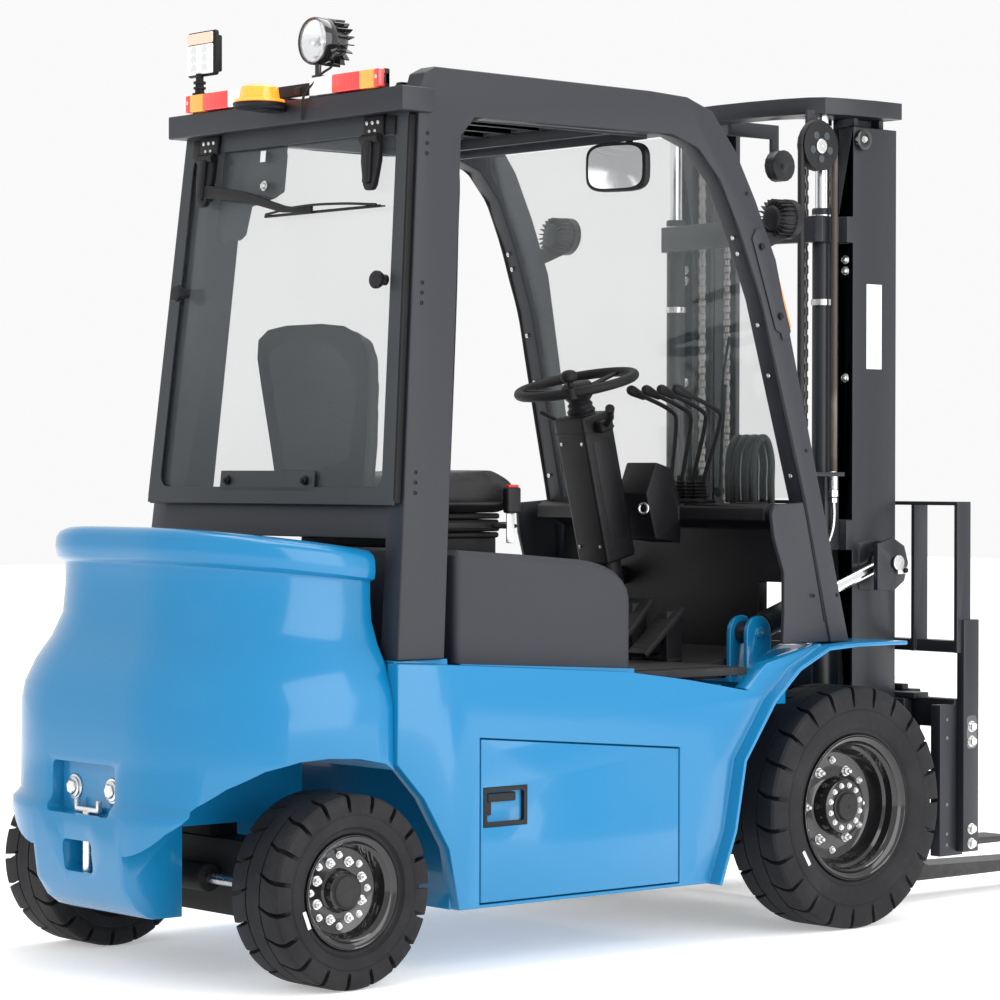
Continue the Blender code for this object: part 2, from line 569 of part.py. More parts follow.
column = join(
    rod(column_top, COLUMN_FOOT - COLUMN * 0.03, 0.035, 12),
    turned_box(0.060, 0.055, 0.480, 0.060),
    box(-0.080, 0.080, COLUMN_FOOT.y - 0.06, COLUMN_FOOT.y + 0.08, FLOOR_TOP + GAP, FLOOR_TOP + 0.045),
)
column = cut(column, box(-0.2, 0.2, -0.6, 0.1, 0.5, FLOOR_TOP + GAP),
             box(-0.2, 0.2, -0.275, 0.0, 0.5, FLOOR_TOP + 0.0375))
node("steering_column", column, "black_plastic")
RIM_R, RIM_THICK, RIM_STEPS = 0.155, 0.013, 24
rim_rings = []
for i in range(RIM_STEPS):
    a = 2 * pi * i / RIM_STEPS
    out = Vector((cos(a), sin(a), 0))
    ring = [out * (RIM_R + RIM_THICK * cos(b * pi / 3)) + Vector((0, 0, RIM_THICK * sin(b * pi / 3))) for b in range(6)]
    rim_rings.append(ring)


def closed_ring(rings):
    bm = bmesh.new()
    made = [[bm.verts.new(point) for point in ring] for ring in rings]
    for one, two in zip(made, made[1:] + made[:1]):
        for i in range(len(one)):
            j = (i + 1) % len(one)
            bm.faces.new((one[i], one[j], two[j], two[i]))
    return finish_mesh(bm)


hub = disc((0, 0, 0), "Z", 0.042, -0.0385, -0.005, 12)
spokes = [rod((0.02 * cos(a), 0.02 * sin(a), -0.022), (RIM_R * cos(a), RIM_R * sin(a), 0), 0.010, 6)
          for a in (pi / 2, pi / 2 + 2 * pi / 3, pi / 2 - 2 * pi / 3)]
knob = join(rod((0.10, -0.11, 0), (0.10, -0.11, 0.032), 0.008, 8), disc((0.10, -0.11, 0), "Z", 0.022, 0.028, 0.060, 12))
wheel = join(closed_ring(rim_rings), hub, *spokes, knob)
wheel.transform(Matrix.Translation(WHEEL_CENTRE) @ pod_turn)
node("steering_wheel", wheel, "black_plastic", WHEEL_CENTRE)

LEVERS = 4
lever_base = box(0.015, 0.185, -0.190, -0.120, 1.1063, 1.170)
lever_parts = [lever_base]
for i in range(LEVERS):
    x = 0.088 + i * 0.058
    bend = (x, -0.180, 1.345)
    grip = (x - 0.010, -0.320, 1.400)
    lever_parts += [rod((0.040 + i * 0.040, -0.155, 1.150), bend, 0.0065, 6), rod(bend, grip, 0.0065, 6),
                    rod(Vector(bend).lerp(Vector(grip), 0.70), Vector(bend).lerp(Vector(grip), 1.12), 0.014, 8),
                    disc(bend, "X", 0.0075, -0.006, 0.006, 8)]
node("lever_bank", join(*lever_parts), "black_plastic")


def pedal(x, y_low, y_high, z_low, z_high, half):
    pad = sweep([(x, y_low, z_low), (x, y_high, z_high)], half, 0.008)
    foot = box(x - 0.012, x + 0.012, y_high - 0.045, y_high + 0.01, FLOOR_TOP + GAP, z_high - 0.006)
    return join(pad, foot)


pedal_plate = box(0.095, 0.230, -0.345, -0.290, FLOOR_TOP + GAP, FLOOR_TOP + 0.010)
pedals = join(pedal(0.215, -0.440, -0.300, 0.712, 0.830, 0.034), pedal(0.115, -0.420, -0.330, 0.760, 0.850, 0.045),
              pedal_plate)
under_floor = prism([(-0.6, 0.5), (-0.6, FLOOR_TOP + GAP), (-0.275, FLOOR_TOP + GAP), (-0.105, 0.726), (-0.105, 0.5)],
                    "X", 0, 1)
node("pedals", cut(pedals, under_floor), "black_plastic")

# ---- hood and seat -------------------------------------------------------------------------
HOOD_HALF, HOOD_FRONT = 0.500, -0.724
HOOD_STEP = -1.294
hood_line = [(HOOD_STEP, 0.7335), (HOOD_STEP, 0.985), (-1.280, 1.003), (-0.880, 0.973), (-0.800, 0.957),
             (-0.735, 0.915), (HOOD_FRONT, 0.880), (HOOD_FRONT, 0.7025)]
wide = prism(hood_line, "X", -HOOD_HALF, HOOD_HALF)
middle = prism([(-1.395, 0.750), (-1.395, 0.985), (-1.380, 1.003), (-1.270, 1.003), (-1.270, 0.750)], "X",
               -0.400, 0.400)
HOOD_WALL = 0.018
hollow = join(
    prism([(HOOD_STEP + HOOD_WALL, 0.6), (HOOD_STEP + HOOD_WALL, 0.980), (-0.880, 0.953), (-0.800, 0.937),
           (-0.750, 0.905), (HOOD_FRONT - HOOD_WALL, 0.870), (HOOD_FRONT - HOOD_WALL, 0.6)], "X",
          -HOOD_HALF + HOOD_WALL, HOOD_HALF - HOOD_WALL),
    box(-0.382, 0.382, -1.377, -1.270, 0.6, 0.980),
)
HOOD_HINGE = (0, HOOD_FRONT, 0.703)
node("hood", cut(join(wide, middle), hollow), "black_plastic", HOOD_HINGE)

SEAT_HALF = 0.240
base = prism([(-1.250, 1.0012), (-1.250, 1.0850), (-0.880, 1.0850), (-0.880, 0.9734)], "X", -0.190, 0.190)
node("seat_base", base, "black_plastic")
cushion = [(-1.270, 1.0853), (-1.270, 1.150), (-1.230, 1.182), (-0.900, 1.195), (-0.845, 1.175), (-0.825, 1.130),
           (-0.835, 1.0853)]
node("seat_cushion", prism(cushion, "X", -SEAT_HALF, SEAT_HALF), "vinyl")
back = [(-1.2703, 1.120), (-1.280, 1.250), (-1.305, 1.530), (-1.325, 1.556), (-1.360, 1.552), (-1.372, 1.520),
        (-1.340, 1.250), (-1.3203, 1.120)]
node("seat_back", prism(back, "X", -SEAT_HALF + 0.010, SEAT_HALF - 0.010), "vinyl")

# ---- mast ----------------------------------------------------------------------------------
RAIL_OUT, RAIL_BACK, RAIL_FRONT = 0.340, 0.240, 0.410
FLANGE, WEB = 0.020, 0.018
OUTER_LOW, OUTER_TOP = 0.100, 2.124
INNER_LOW, INNER_TOP = 0.130, MAST_TOP - 0.045
LIFT = Vector((0.285, 0.175, 0))
LIFT_R, LIFT_LOW, LIFT_TOP = 0.026, 0.150, 1.900
LIFT_ROD_R = 0.0180
TILT_PIN = Vector((0.370, 0.335, 0.945))

outer_rail = cut(
    box(RAIL_OUT - 0.055, RAIL_OUT, RAIL_BACK, RAIL_FRONT, OUTER_LOW, OUTER_TOP),
    box(RAIL_OUT - 0.1, RAIL_OUT - WEB, RAIL_BACK + FLANGE, RAIL_FRONT - FLANGE, 0, 3),
)


def mast_tie(low, high):
    """A cross tie that is bowed back behind the chains and holds the lift cylinders."""
    right = [(RAIL_OUT, RAIL_BACK + 0.004), (RAIL_OUT, 0.216), (0.3145, 0.208), (0.3145, 0.146), (0.300, 0.132),
             (0.250, 0.126), (0.150, 0.108), (0, 0.100)]
    front = [(0, 0.128), (0.150, 0.136), (0.245, 0.160), (0.252, 0.200), (0.290, RAIL_BACK + 0.004)]
    outline = right + [(-x, y) for x, y in reversed(right[:-1])] + [(-x, y) for x, y in reversed(front)] + front[1:]
    holes = both(disc((LIFT.x, LIFT.y, 0), "Z", LIFT_R + GAP * 2, low - 0.1, high + 0.1))
    return cut(prism(outline, "Z", low, high), *holes)


hook_hole = disc((0, 0, FRONT_Z), "X", AXLE_R + 0.0009, -0.5, 0.5, 24)
hook_outline = [(0.105 * cos(a * pi / 8), FRONT_Z + 0.105 * sin(a * pi / 8)) for a in range(2, 15)]
hook_outline += [(RAIL_BACK + 0.010, FRONT_Z - 0.150), (RAIL_BACK + 0.010, FRONT_Z + 0.160)]
hook = cut(prism(hook_outline, "X", 0.262, 0.332), hook_hole)
hook = cut(hook, disc((LIFT.x, LIFT.y, 0), "Z", LIFT_R + GAP * 2, LIFT_LOW, 2))
foot_tie = box(-RAIL_OUT + 0.02, RAIL_OUT - 0.02, 0.205, RAIL_BACK + 0.012, OUTER_LOW + 0.02, 0.145)
BRACKET_IN, BRACKET_THICK = 0.026, 0.016
bracket_outline = [(0.262, 0.872), (0.262, 0.996), (0.325, 1.012), (0.368, 0.990), (0.384, 0.944), (0.368, 0.895),
                   (0.325, 0.868)]
plates = [
    prism(bracket_outline, "X", TILT_PIN.x + BRACKET_IN, TILT_PIN.x + BRACKET_IN + BRACKET_THICK),
    prism(bracket_outline, "X", RAIL_OUT - 0.004, TILT_PIN.x - BRACKET_IN),
]
bracket_back = box(RAIL_OUT - 0.004, TILT_PIN.x + BRACKET_IN + 0.004, 0.318, 0.350, 0.986, 1.002)
bracket_pin = disc(TILT_PIN, "X", PIN_R, -0.031, BRACKET_IN + BRACKET_THICK + 0.008, 12)
chain_anchor = box(0.180, 0.220, 0.100, 0.212, 1.020, 1.050)
HOSE_FIXED = 1.190
hose_bracket = join(box(0.3125, 0.3220, 0.150, 0.205, 0.985, HOSE_FIXED - GAP),
                    box(0.3125, 0.3440, 0.028, 0.205, HOSE_FIXED - 0.012, HOSE_FIXED - GAP))
mast_half = both(outer_rail, hook, *plates, bracket_back, bracket_pin)
TIE_HEIGHTS = ((0.980, 1.060), (1.810, 1.880))
outer = join(foot_tie, *[mast_tie(low, high) for low, high in TIE_HEIGHTS], *mast_half, *both(chain_anchor),
             hose_bracket)
MAST_PIVOT = (0, 0, FRONT_Z)
node("outer_mast", outer, "black_paint", MAST_PIVOT)

barrel = turned([(LIFT_LOW, 0), (0.250, 0), (0.250, LIFT_ROD_R + 0.0006), (LIFT_TOP, LIFT_ROD_R + 0.0006),
                 (LIFT_TOP, LIFT_R), (LIFT_LOW, LIFT_R)], (LIFT.x, LIFT.y, 0), "Z", 16)
pair("lift_cylinder", barrel, "black_paint")

I_OUT, I_IN = 0.316, 0.238
I_BACK, I_FRONT = RAIL_BACK + FLANGE + 0.006, RAIL_FRONT - FLANGE - 0.006
inner_rail = cut(
    box(I_IN, I_OUT, I_BACK, I_FRONT, INNER_LOW, INNER_TOP + 0.002),
    box(0.1, 0.268, I_BACK + 0.018, I_FRONT - 0.018, 0, INNER_TOP),
    box(0.286, 0.5, I_BACK + 0.018, I_FRONT - 0.018, 0, INNER_TOP),
)
head_right = [(0.365, 0.405), (0.365, 0.300), (0.352, 0.200), (0.335, 0.135), (0.300, 0.105), (0.220, 0.078),
              (0.120, 0.062), (0, 0.055)]
head_front = [(0, 0.140), (0.120, 0.150), (0.190, 0.180), (0.225, 0.240), (0.232, 0.330), (0.240, 0.405)]
head_outline = (
    head_right + [(-x, y) for x, y in reversed(head_right[:-1])] + [(-x, y) for x, y in reversed(head_front)]
    + head_front[1:]
)
crosshead = prism(head_outline, "Z", INNER_TOP, MAST_TOP)
inner_tie = box(-I_IN - 0.01, I_IN + 0.01, I_BACK, I_BACK + 0.016, 0.60, 0.72)
inner_foot = box(-I_IN - 0.01, I_IN + 0.01, I_BACK, I_BACK + 0.016, 0.15, 0.24)
SHEAVE = Vector((0.200, 0.245, 2.075))
sheave_arm = join(
    box(0.176, 0.186, SHEAVE.y - 0.020, SHEAVE.y + 0.020, SHEAVE.z - 0.02, INNER_TOP + 0.01),
    box(0.176, 0.236, SHEAVE.y - 0.020, SHEAVE.y + 0.020, 2.135, INNER_TOP + 0.01),
    disc(SHEAVE, "X", 0.0105, -0.020, 0.014, 12),
)
HOSE_WHEEL = Vector((0.331, 0.110, 2.062))
hose_arm = join(
    box(HOSE_WHEEL.x - 0.029, HOSE_WHEEL.x - 0.019, HOSE_WHEEL.y - 0.020, HOSE_WHEEL.y + 0.020,
        HOSE_WHEEL.z - 0.02, INNER_TOP + 0.01),
    disc(HOSE_WHEEL, "X", 0.0105, -0.024, 0.013, 12),
)
GUIDE = Vector((-0.030, 0.310, 2.045))
guide_arm = join(
    box(GUIDE.x - 0.005, GUIDE.x + 0.005, 0.130, GUIDE.y + 0.015, 2.120, INNER_TOP + 0.01),
    box(GUIDE.x - 0.005, GUIDE.x + 0.005, GUIDE.y - 0.015, GUIDE.y + 0.015, GUIDE.z - 0.015, 2.130),
    disc(GUIDE, "X", 0.0105, -0.010, 0.042, 12),
)
sheave = turned([(-0.0135, 0), (0.0135, 0), (0.0135, 0.045), (0, 0.039), (-0.0135, 0.045)], SHEAVE, "X", 16)
hose_guide = turned([(0.0055, 0), (0.0390, 0), (0.0390, 0.045), (0.0300, 0.037), (0.0222, 0.045), (0.0145, 0.037),
                     (0.0055, 0.045)], GUIDE, "X", 16)
inner = join(crosshead, *both(inner_rail, sheave_arm, sheave), inner_tie, inner_foot, hose_arm, guide_arm, hose_guide)
node("inner_mast", inner, "black_paint")
pair("lift_rod", disc((LIFT.x, LIFT.y, 0), "Z", LIFT_ROD_R, 0.300, INNER_TOP - GAP, 16), "chrome")


HOSE_WHEEL_R, HOSE_WHEEL_HALF, GROOVE = 0.066, 0.0137, 0.012
groove_line = [(HOSE_WHEEL_HALF, HOSE_WHEEL_R), (0.0112, HOSE_WHEEL_R), (0.0097, HOSE_WHEEL_R - GROOVE)]
hose_wheel = [(-HOSE_WHEEL_HALF, 0.0111), (HOSE_WHEEL_HALF, 0.0111)] + groove_line
hose_wheel += [(-a, r) for a, r in reversed(groove_line)]
node("hose_wheel", turned(hose_wheel, HOSE_WHEEL, "X", 20), "black_plastic")

CHAIN_HALF, CHAIN_THICK, CHAIN_END = 0.0110, 0.006, 0.556
chain_path = [(SHEAVE.y - 0.0485, 1.0505)]
chain_path += [(SHEAVE.y - 0.0485 * cos(a * pi / 8), SHEAVE.z + 0.0485 * sin(a * pi / 8)) for a in range(0, 9)]
chain_path += [(SHEAVE.y + 0.0485, CHAIN_END + GAP)]
chain = sweep([(SHEAVE.x, y, z) for y, z in chain_path], CHAIN_HALF, CHAIN_THICK / 2)
pair("lift_chain", chain, "steel")
HOSE_R = 0.009
HOSE_TURN = HOSE_WHEEL_R - GROOVE + HOSE_R + 0.0013
hose_path = [(HOSE_WHEEL.y + HOSE_TURN, HOSE_FIXED)]
hose_path += [(HOSE_WHEEL.y + HOSE_TURN * cos(a * pi / 8), HOSE_WHEEL.z + HOSE_TURN * sin(a * pi / 8)) for a in range(9)]
hose_path += [(HOSE_WHEEL.y - HOSE_TURN, HOSE_FIXED)]
node("mast_hose", tube([(HOSE_WHEEL.x, y, z) for y, z in hose_path], HOSE_R), "rubber")

# ---- carriage, side shift, load backrest and forks -------------------------------------------
BAR_TOP, BAR_LOW = (0.500, 0.570), (0.165, 0.235)
cheek = join(
    box(0.196, 0.230, 0.286, 0.4320, 0.160, CHAIN_END),
    box(0.196, 0.230, 0.300, 0.4320, 0.170, 0.600),
    *[disc((0, 0.3275, z), "X", 0.038, 0.200, 0.262, 16) for z in (0.225, 0.530)],
)
shift_guide = [box(-0.355, 0.355, 0.430, 0.462, low, high) for low, high in (BAR_TOP, BAR_LOW)]
node("carriage", join(*both(cheek), *shift_guide), "black_paint")

SHIFT_BACK, SHIFT_FRONT = 0.4683, 0.5030
shift_bars = [box(-0.505, 0.505, SHIFT_BACK, SHIFT_FRONT, low, high) for low, high in ((0.496, 0.574), (0.160, 0.240))]
shift_ends = both(box(0.470, 0.505, 0.410, SHIFT_FRONT, 0.150, 0.560))
hooks = [box(-0.380, 0.380, 0.4450, SHIFT_FRONT, 0.5745 - 0.004, 0.586), box(-0.120, 0.120, 0.442, 0.470, 0.140, 0.1605)]
rests = both(box(0.300, 0.380, 0.4623, 0.4700, 0.200, 0.230))
node("side_shifter", join(*shift_bars, *shift_ends, *hooks, *rests), "black_paint")

BACKREST_TOP, STAY = 1.110, 0.012
REST_BACK, REST_FRONT = 0.460, 0.515
stays = both(box(CARRIAGE_HALF - STAY, CARRIAGE_HALF, REST_BACK, REST_FRONT, 0.700, BACKREST_TOP),
             box(0.352, 0.364, REST_BACK, REST_FRONT, 0.700, BACKREST_TOP),
             box(0.115, 0.127, REST_BACK, REST_FRONT, 0.700, BACKREST_TOP),
             box(0.5055, CARRIAGE_HALF + 0.011, 0.476, 0.537, 0.160, 0.790))
rails = [box(-CARRIAGE_HALF, CARRIAGE_HALF, REST_BACK, REST_FRONT, BACKREST_TOP - 0.010, BACKREST_TOP),
         box(-CARRIAGE_HALF, CARRIAGE_HALF, REST_BACK + 0.010, REST_FRONT, 0.700, 0.732)]
node("load_backrest", join(*rails, *stays), "black_paint")

fork_low = FORK_RAISED
fork_outline = [
    (SHANK_Y + 0.0003, 0.590), (SHANK_Y + FORK_THICK, 0.590), (SHANK_Y + FORK_THICK, 0.130),
    (SHANK_Y + FORK_THICK + 0.012, 0.108), (SHANK_Y + FORK_THICK + 0.036, fork_low + FORK_THICK),
    (FORK_TIP - 0.060, fork_low + 0.016), (FORK_TIP, fork_low + 0.008), (FORK_TIP, fork_low),
    (SHANK_Y + 0.035, fork_low), (SHANK_Y + 0.010, fork_low + 0.014), (SHANK_Y + 0.0003, fork_low + 0.045),
]
fork = join(
    prism(fork_outline, "X", FORK_SPREAD - FORK_WIDTH / 2, FORK_SPREAD + FORK_WIDTH / 2),
    box(FORK_SPREAD - 0.040, FORK_SPREAD + 0.040, 0.495, 0.520, 0.5865, 0.604),
)
pair("fork", fork, "black_paint")

# ---- tilt cylinders --------------------------------------------------------------------------
reach = TILT_PIN - CLEVIS
reach_dir = reach.normalized()
TILT_R, TILT_ROD_R, EYE_R = 0.034, 0.0160, 0.030
BARREL_END = 0.300
eye_back = cut(disc(CLEVIS, "X", EYE_R, -0.024, 0.024, 16), disc(CLEVIS, "X", PIN_R + 0.0007, -0.1, 0.1, 16))
tilt_case = cut(
    join(rod(CLEVIS + reach_dir * 0.056, CLEVIS + reach_dir * BARREL_END, TILT_R, 16),
         rod(CLEVIS + reach_dir * 0.012, CLEVIS + reach_dir * 0.070, 0.022, 12), eye_back),
    rod(CLEVIS + reach_dir * 0.090, CLEVIS + reach_dir * (BARREL_END + 0.1), TILT_ROD_R + 0.0006, 16),
    disc(CLEVIS, "X", PIN_R + 0.0007, -0.1, 0.1, 16),
)
pair("tilt_cylinder", tilt_case, "black_paint", tuple(CLEVIS))
eye_front = cut(
    join(rod(CLEVIS + reach_dir * 0.150, TILT_PIN - reach_dir * 0.015, TILT_ROD_R, 16),
         disc(TILT_PIN, "X", EYE_R, -0.022, 0.022, 16)),
    disc(TILT_PIN, "X", PIN_R + 0.0060, -0.1, 0.1, 16),
)
pair("tilt_rod", eye_front, "chrome", tuple(TILT_PIN))

# ---- lamps and mirror ------------------------------------------------------------------------
LAMP_LOW = 2.094 + GAP
lamp_rail = box(-0.130, 0.130, -1.439, -1.415, LAMP_LOW, 2.106)
node("tail_lamps", join(lamp_rail, *both(box(0.122, 0.392, -1.446, -1.408, LAMP_LOW, 2.142))), "lamp_red")
BEACON = (0, -1.502, 2.072)
beacon = join(
    turned([(0, 0), (0.088, 0), (0.083, 0.030), (0.070, 0.046), (0.020, 0.050), (0.018, 0.058), (0, 0.058)],
           BEACON, "Z", 20),
    box(-0.028, 0.028, -1.502, -1.440 - GAP, 2.066, 2.078),
)
node("beacon", beacon, "amber")


def stalk_lamp(x, y, head, low):
    return join(head, rod((x, y, low), (x, y, low + 0.090), 0.007, 8), disc((x, y, 0), "Z", 0.018, low, low + 0.006))


work_head = turned([(-0.045, 0), (0.040, 0), (0.045, 0.045), (0.040, 0.058), (0.0, 0.058), (-0.035, 0.036)],
                   (0.134, -1.400, 2.230), "-Y", 20)
node("rear_work_lamp", stalk_lamp(0.134, -1.425, work_head, 2.142 + GAP), "chrome")
led_head = box(-0.425, -0.305, -1.425, -1.385, 2.190, 2.305)
node("corner_lamp", stalk_lamp(-0.365, -1.420, led_head, 2.142 + GAP), "black_plastic")
front_head = turned([(-0.040, 0), (0.035, 0), (0.035, 0.052), (0.010, 0.052), (-0.040, 0.034)],
                    (0.440, -0.140, 1.850), "Y", 20)
lamp_arm = prism([(-0.2082, 1.770), (-0.190, 1.772), (-0.130, 1.796), (-0.130, 1.812), (-0.2288, 1.812)],
                 "X", 0.430, 0.452)
pair("front_work_lamp", lean(join(front_head, lamp_arm)), "black_plastic")
mirror_head = prism([(0.190, 1.905), (0.180, 1.950), (0.190, 2.020), (0.405, 2.030), (0.410, 1.945), (0.385, 1.900)],
                    "Y", -0.600, -0.575)
mirror_arm = join(box(0.290, 0.310, -0.580, -0.545, 2.000, 2.010), box(0.290, 0.310, -0.555, -0.545, 2.000, 2.0532))
node("mirror", join(mirror_head, mirror_arm), "mirror")
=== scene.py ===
"""Looks of a counterbalance forklift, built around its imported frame.

Metres, +Z up, +Y ahead, +X to the right.
"""

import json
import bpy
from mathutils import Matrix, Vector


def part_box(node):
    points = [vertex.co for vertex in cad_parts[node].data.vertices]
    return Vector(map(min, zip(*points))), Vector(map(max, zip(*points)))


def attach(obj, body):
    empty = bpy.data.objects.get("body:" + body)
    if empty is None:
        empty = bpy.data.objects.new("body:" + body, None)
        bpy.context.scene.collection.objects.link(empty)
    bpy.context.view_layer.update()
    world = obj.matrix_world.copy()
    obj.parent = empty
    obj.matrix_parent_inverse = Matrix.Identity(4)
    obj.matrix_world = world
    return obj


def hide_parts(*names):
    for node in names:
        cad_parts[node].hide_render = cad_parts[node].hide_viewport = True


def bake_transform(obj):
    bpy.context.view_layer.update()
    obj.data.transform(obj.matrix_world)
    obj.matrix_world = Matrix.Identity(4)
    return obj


bl_info = {
    "name": "Forklift Builder",
    "version": (1, 0, 0),
    "blender": (4, 5, 0),
    "location": "3D View > Sidebar > Forklift",
    "description": "Builds a counterbalance forklift piece by piece around its working frame",
    "category": "Add Mesh",
}

from math import atan2, cos, hypot, pi, radians, sin

import bmesh
import bpy
from bpy.props import FloatProperty, FloatVectorProperty, IntProperty, PointerProperty
from mathutils import Matrix, Vector

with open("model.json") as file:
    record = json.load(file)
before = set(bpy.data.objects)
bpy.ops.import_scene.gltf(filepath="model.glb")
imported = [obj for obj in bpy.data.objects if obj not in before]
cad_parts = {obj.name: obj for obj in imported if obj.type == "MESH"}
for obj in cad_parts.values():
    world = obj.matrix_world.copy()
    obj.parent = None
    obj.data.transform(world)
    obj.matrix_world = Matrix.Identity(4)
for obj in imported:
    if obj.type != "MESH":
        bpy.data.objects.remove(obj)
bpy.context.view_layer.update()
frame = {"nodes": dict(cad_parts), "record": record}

TAU = 2 * pi
SIDES = {"right": 1, "left": -1}
HOME, RIGHT, AHEAD, BACK, UP = (0, 0, 0), (1, 0, 0), (0, 1, 0), (0, -1, 0), (0, 0, 1)
WELD = 1e-5
FLAT = radians(1)
EDGE_ANGLE = radians(30)
AXLE_Y = (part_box("front_tyre_right")[0].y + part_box("front_tyre_right")[1].y) / 2
WHEELBASE = AXLE_Y - (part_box("rear_tyre_right")[0].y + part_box("rear_tyre_right")[1].y) / 2


def at(x, y, z):
    """A place written from the front axle: y is 0 on it and z is 0 on the ground."""
    return Vector((x, y + AXLE_Y, z))


# ---- modelling ---------------------------------------------------------------------------
def only(*objects):
    """Selects these objects and nothing else, and makes the first one active."""
    bpy.ops.object.select_all(action="DESELECT")
    for piece in objects:
        piece.select_set(True)
    bpy.context.view_layer.objects.active = objects[0]


def linked(name, mesh):
    made = bpy.data.objects.new(name, mesh)
    bpy.context.collection.objects.link(made)
    return made


def modify(piece, kind, **settings):
    """Adds a modifier and applies it."""
    only(piece)
    modifier = piece.modifiers.new("step", kind)
    for key, value in settings.items():
        setattr(modifier, key, value)
    bpy.ops.object.modifier_apply(modifier=modifier.name)
    return piece


def edit(piece, *steps):
    """Runs mesh operators in edit mode with everything selected before each."""
    only(piece)
    bpy.ops.object.mode_set(mode="EDIT")
    for operator, settings in steps:
        bpy.ops.mesh.select_all(action="SELECT")
        operator(**settings)
    bpy.ops.object.mode_set(mode="OBJECT")
    return piece


def rounded(piece, width, segments=2):
    return modify(piece, "BEVEL", width=width, segments=segments, limit_method="ANGLE",
                  angle_limit=EDGE_ANGLE, use_clamp_overlap=False)


def block(x0, x1, y0, y1, z0, z1, width=0.002, segments=2):
    """A box with rounded edges between six planes, written from the front axle."""
    low, high = at(min(x0, x1), min(y0, y1), min(z0, z1)), at(max(x0, x1), max(y0, y1), max(z0, z1))
    bpy.ops.object.select_all(action="DESELECT")
    bpy.ops.mesh.primitive_cube_add(size=1, location=(low + high) / 2, scale=high - low)
    piece = bpy.context.object
    bpy.ops.object.transform_apply()
    width = min(width, min(high - low) * 0.45)
    return edit(piece, (bpy.ops.mesh.bevel, {"offset": width, "segments": segments, "affect": "EDGES"}))


def spun(profile, place, direction=UP, steps=40):
    """A line of (along, radius) points spun into a closed shape about an axis through its place."""
    mesh = bpy.data.meshes.new("line")
    mesh.from_pydata([(radius, 0, along) for along, radius in profile],
                     [(i, i + 1) for i in range(len(profile) - 1)], [])
    piece = linked("spun", mesh)
    edit(
        piece,
        (bpy.ops.mesh.spin, {"steps": steps, "angle": TAU, "center": HOME, "axis": UP}),
        (bpy.ops.mesh.remove_doubles, {"threshold": WELD}),
        (bpy.ops.mesh.normals_make_consistent, {}),
    )
    piece.data.transform(turned_to(direction, place))
    return piece


def sheet_cut(outline, axis, low, high, width=0.0015, segments=2):
    """A flat outline extruded along an axis, with rounded edges. Written from the front axle."""
    number = "XYZ".index(axis)
    points = [(*point[:number], low, *point[number:]) for point in outline]
    mesh = bpy.data.meshes.new("outline")
    mesh.from_pydata([at(*point) for point in points], [], [list(range(len(points)))])
    piece = linked("cut", mesh)
    step = Vector([(high - low) * (letter == axis) for letter in "XYZ"])
    only(piece)
    bpy.ops.object.mode_set(mode="EDIT")
    bpy.ops.mesh.select_all(action="SELECT")
    bpy.ops.mesh.extrude_region_move(TRANSFORM_OT_translate={"value": step})
    bpy.ops.mesh.select_all(action="SELECT")
    bpy.ops.mesh.normals_make_consistent()
    bpy.ops.object.mode_set(mode="OBJECT")
    return rounded(piece, width, segments) if width else piece


def hose(points, radius, sides=3, resolution=6, smooth=True):
    """A round hose, wire or bar along points written from the front axle."""
    curve = bpy.data.curves.new("path", "CURVE")
    curve.dimensions = "3D"
    curve.bevel_depth, curve.bevel_resolution = radius, sides
    curve.resolution_u, curve.use_fill_caps = resolution, True
    spline = curve.splines.new("BEZIER" if smooth else "POLY")
    if smooth:
        spline.bezier_points.add(len(points) - 1)
        for knot, point in zip(spline.bezier_points, points):
            knot.co = at(*point)
            knot.handle_left_type = knot.handle_right_type = "AUTO"
    else:
        spline.points.add(len(points) - 1)
        for knot, point in zip(spline.points, points):
            knot.co = (*at(*point), 1)
    piece = linked("hose", curve)
    only(piece)
    bpy.ops.object.convert(target="MESH")
    return edit(bpy.context.object, (bpy.ops.mesh.remove_doubles, {"threshold": WELD}),
                (bpy.ops.mesh.normals_make_consistent, {}))


def turned_to(direction, place, spin=0.0):
    """The move that stands a piece made about +Z on a place, facing a direction."""
    turn = Vector(direction).to_track_quat("Z", "Y").to_matrix().to_4x4()
    return Matrix.Translation(place) @ turn @ Matrix.Rotation(spin, 4, "Z")


def copies(piece, matrices):
    """One mesh holding a copy of a small piece at each matrix, in place of the piece."""
    bm = bmesh.new()
    for matrix in matrices:
        mesh = piece.data.copy()
        mesh.transform(matrix)
        bm.from_mesh(mesh)
        bpy.data.meshes.remove(mesh)
    bm.to_mesh(piece.data)
    bm.free()
    return piece


def mirror_too(piece):
    """The piece and its mirror image on the other side, as one mesh."""
    bm = bmesh.new()
    bm.from_mesh(piece.data)
    twin = bm.copy()
    bmesh.ops.transform(twin, matrix=Matrix.Scale(-1, 4, RIGHT), verts=twin.verts)
    bmesh.ops.reverse_faces(twin, faces=twin.faces)
    other = bpy.data.meshes.new("twin")
    twin.to_mesh(other)
    bm.from_mesh(other)
    bm.to_mesh(piece.data)
    bm.free()
    twin.free()
    return piece


def joined(*pieces):
    """The pieces as one mesh, in the first of them."""
    only(*pieces)
    if len(pieces) > 1:
        bpy.ops.object.join()
    return bpy.context.view_layer.objects.active


def finished(piece, name, finish, body, slot, *nodes, angle=35):
    """Names a piece, gives it its finish and hangs it on a body; it stands for the CAD nodes that follow."""
    piece.name = piece.data.name = name
    only(piece)
    bpy.ops.object.transform_apply()
    bpy.ops.object.shade_smooth_by_angle(angle=radians(angle))
    piece.data.materials.clear()
    piece.data.materials.append(FINISHES[finish])
    if nodes:
        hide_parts(*nodes)
    if body:
        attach(piece, body)
    return piece


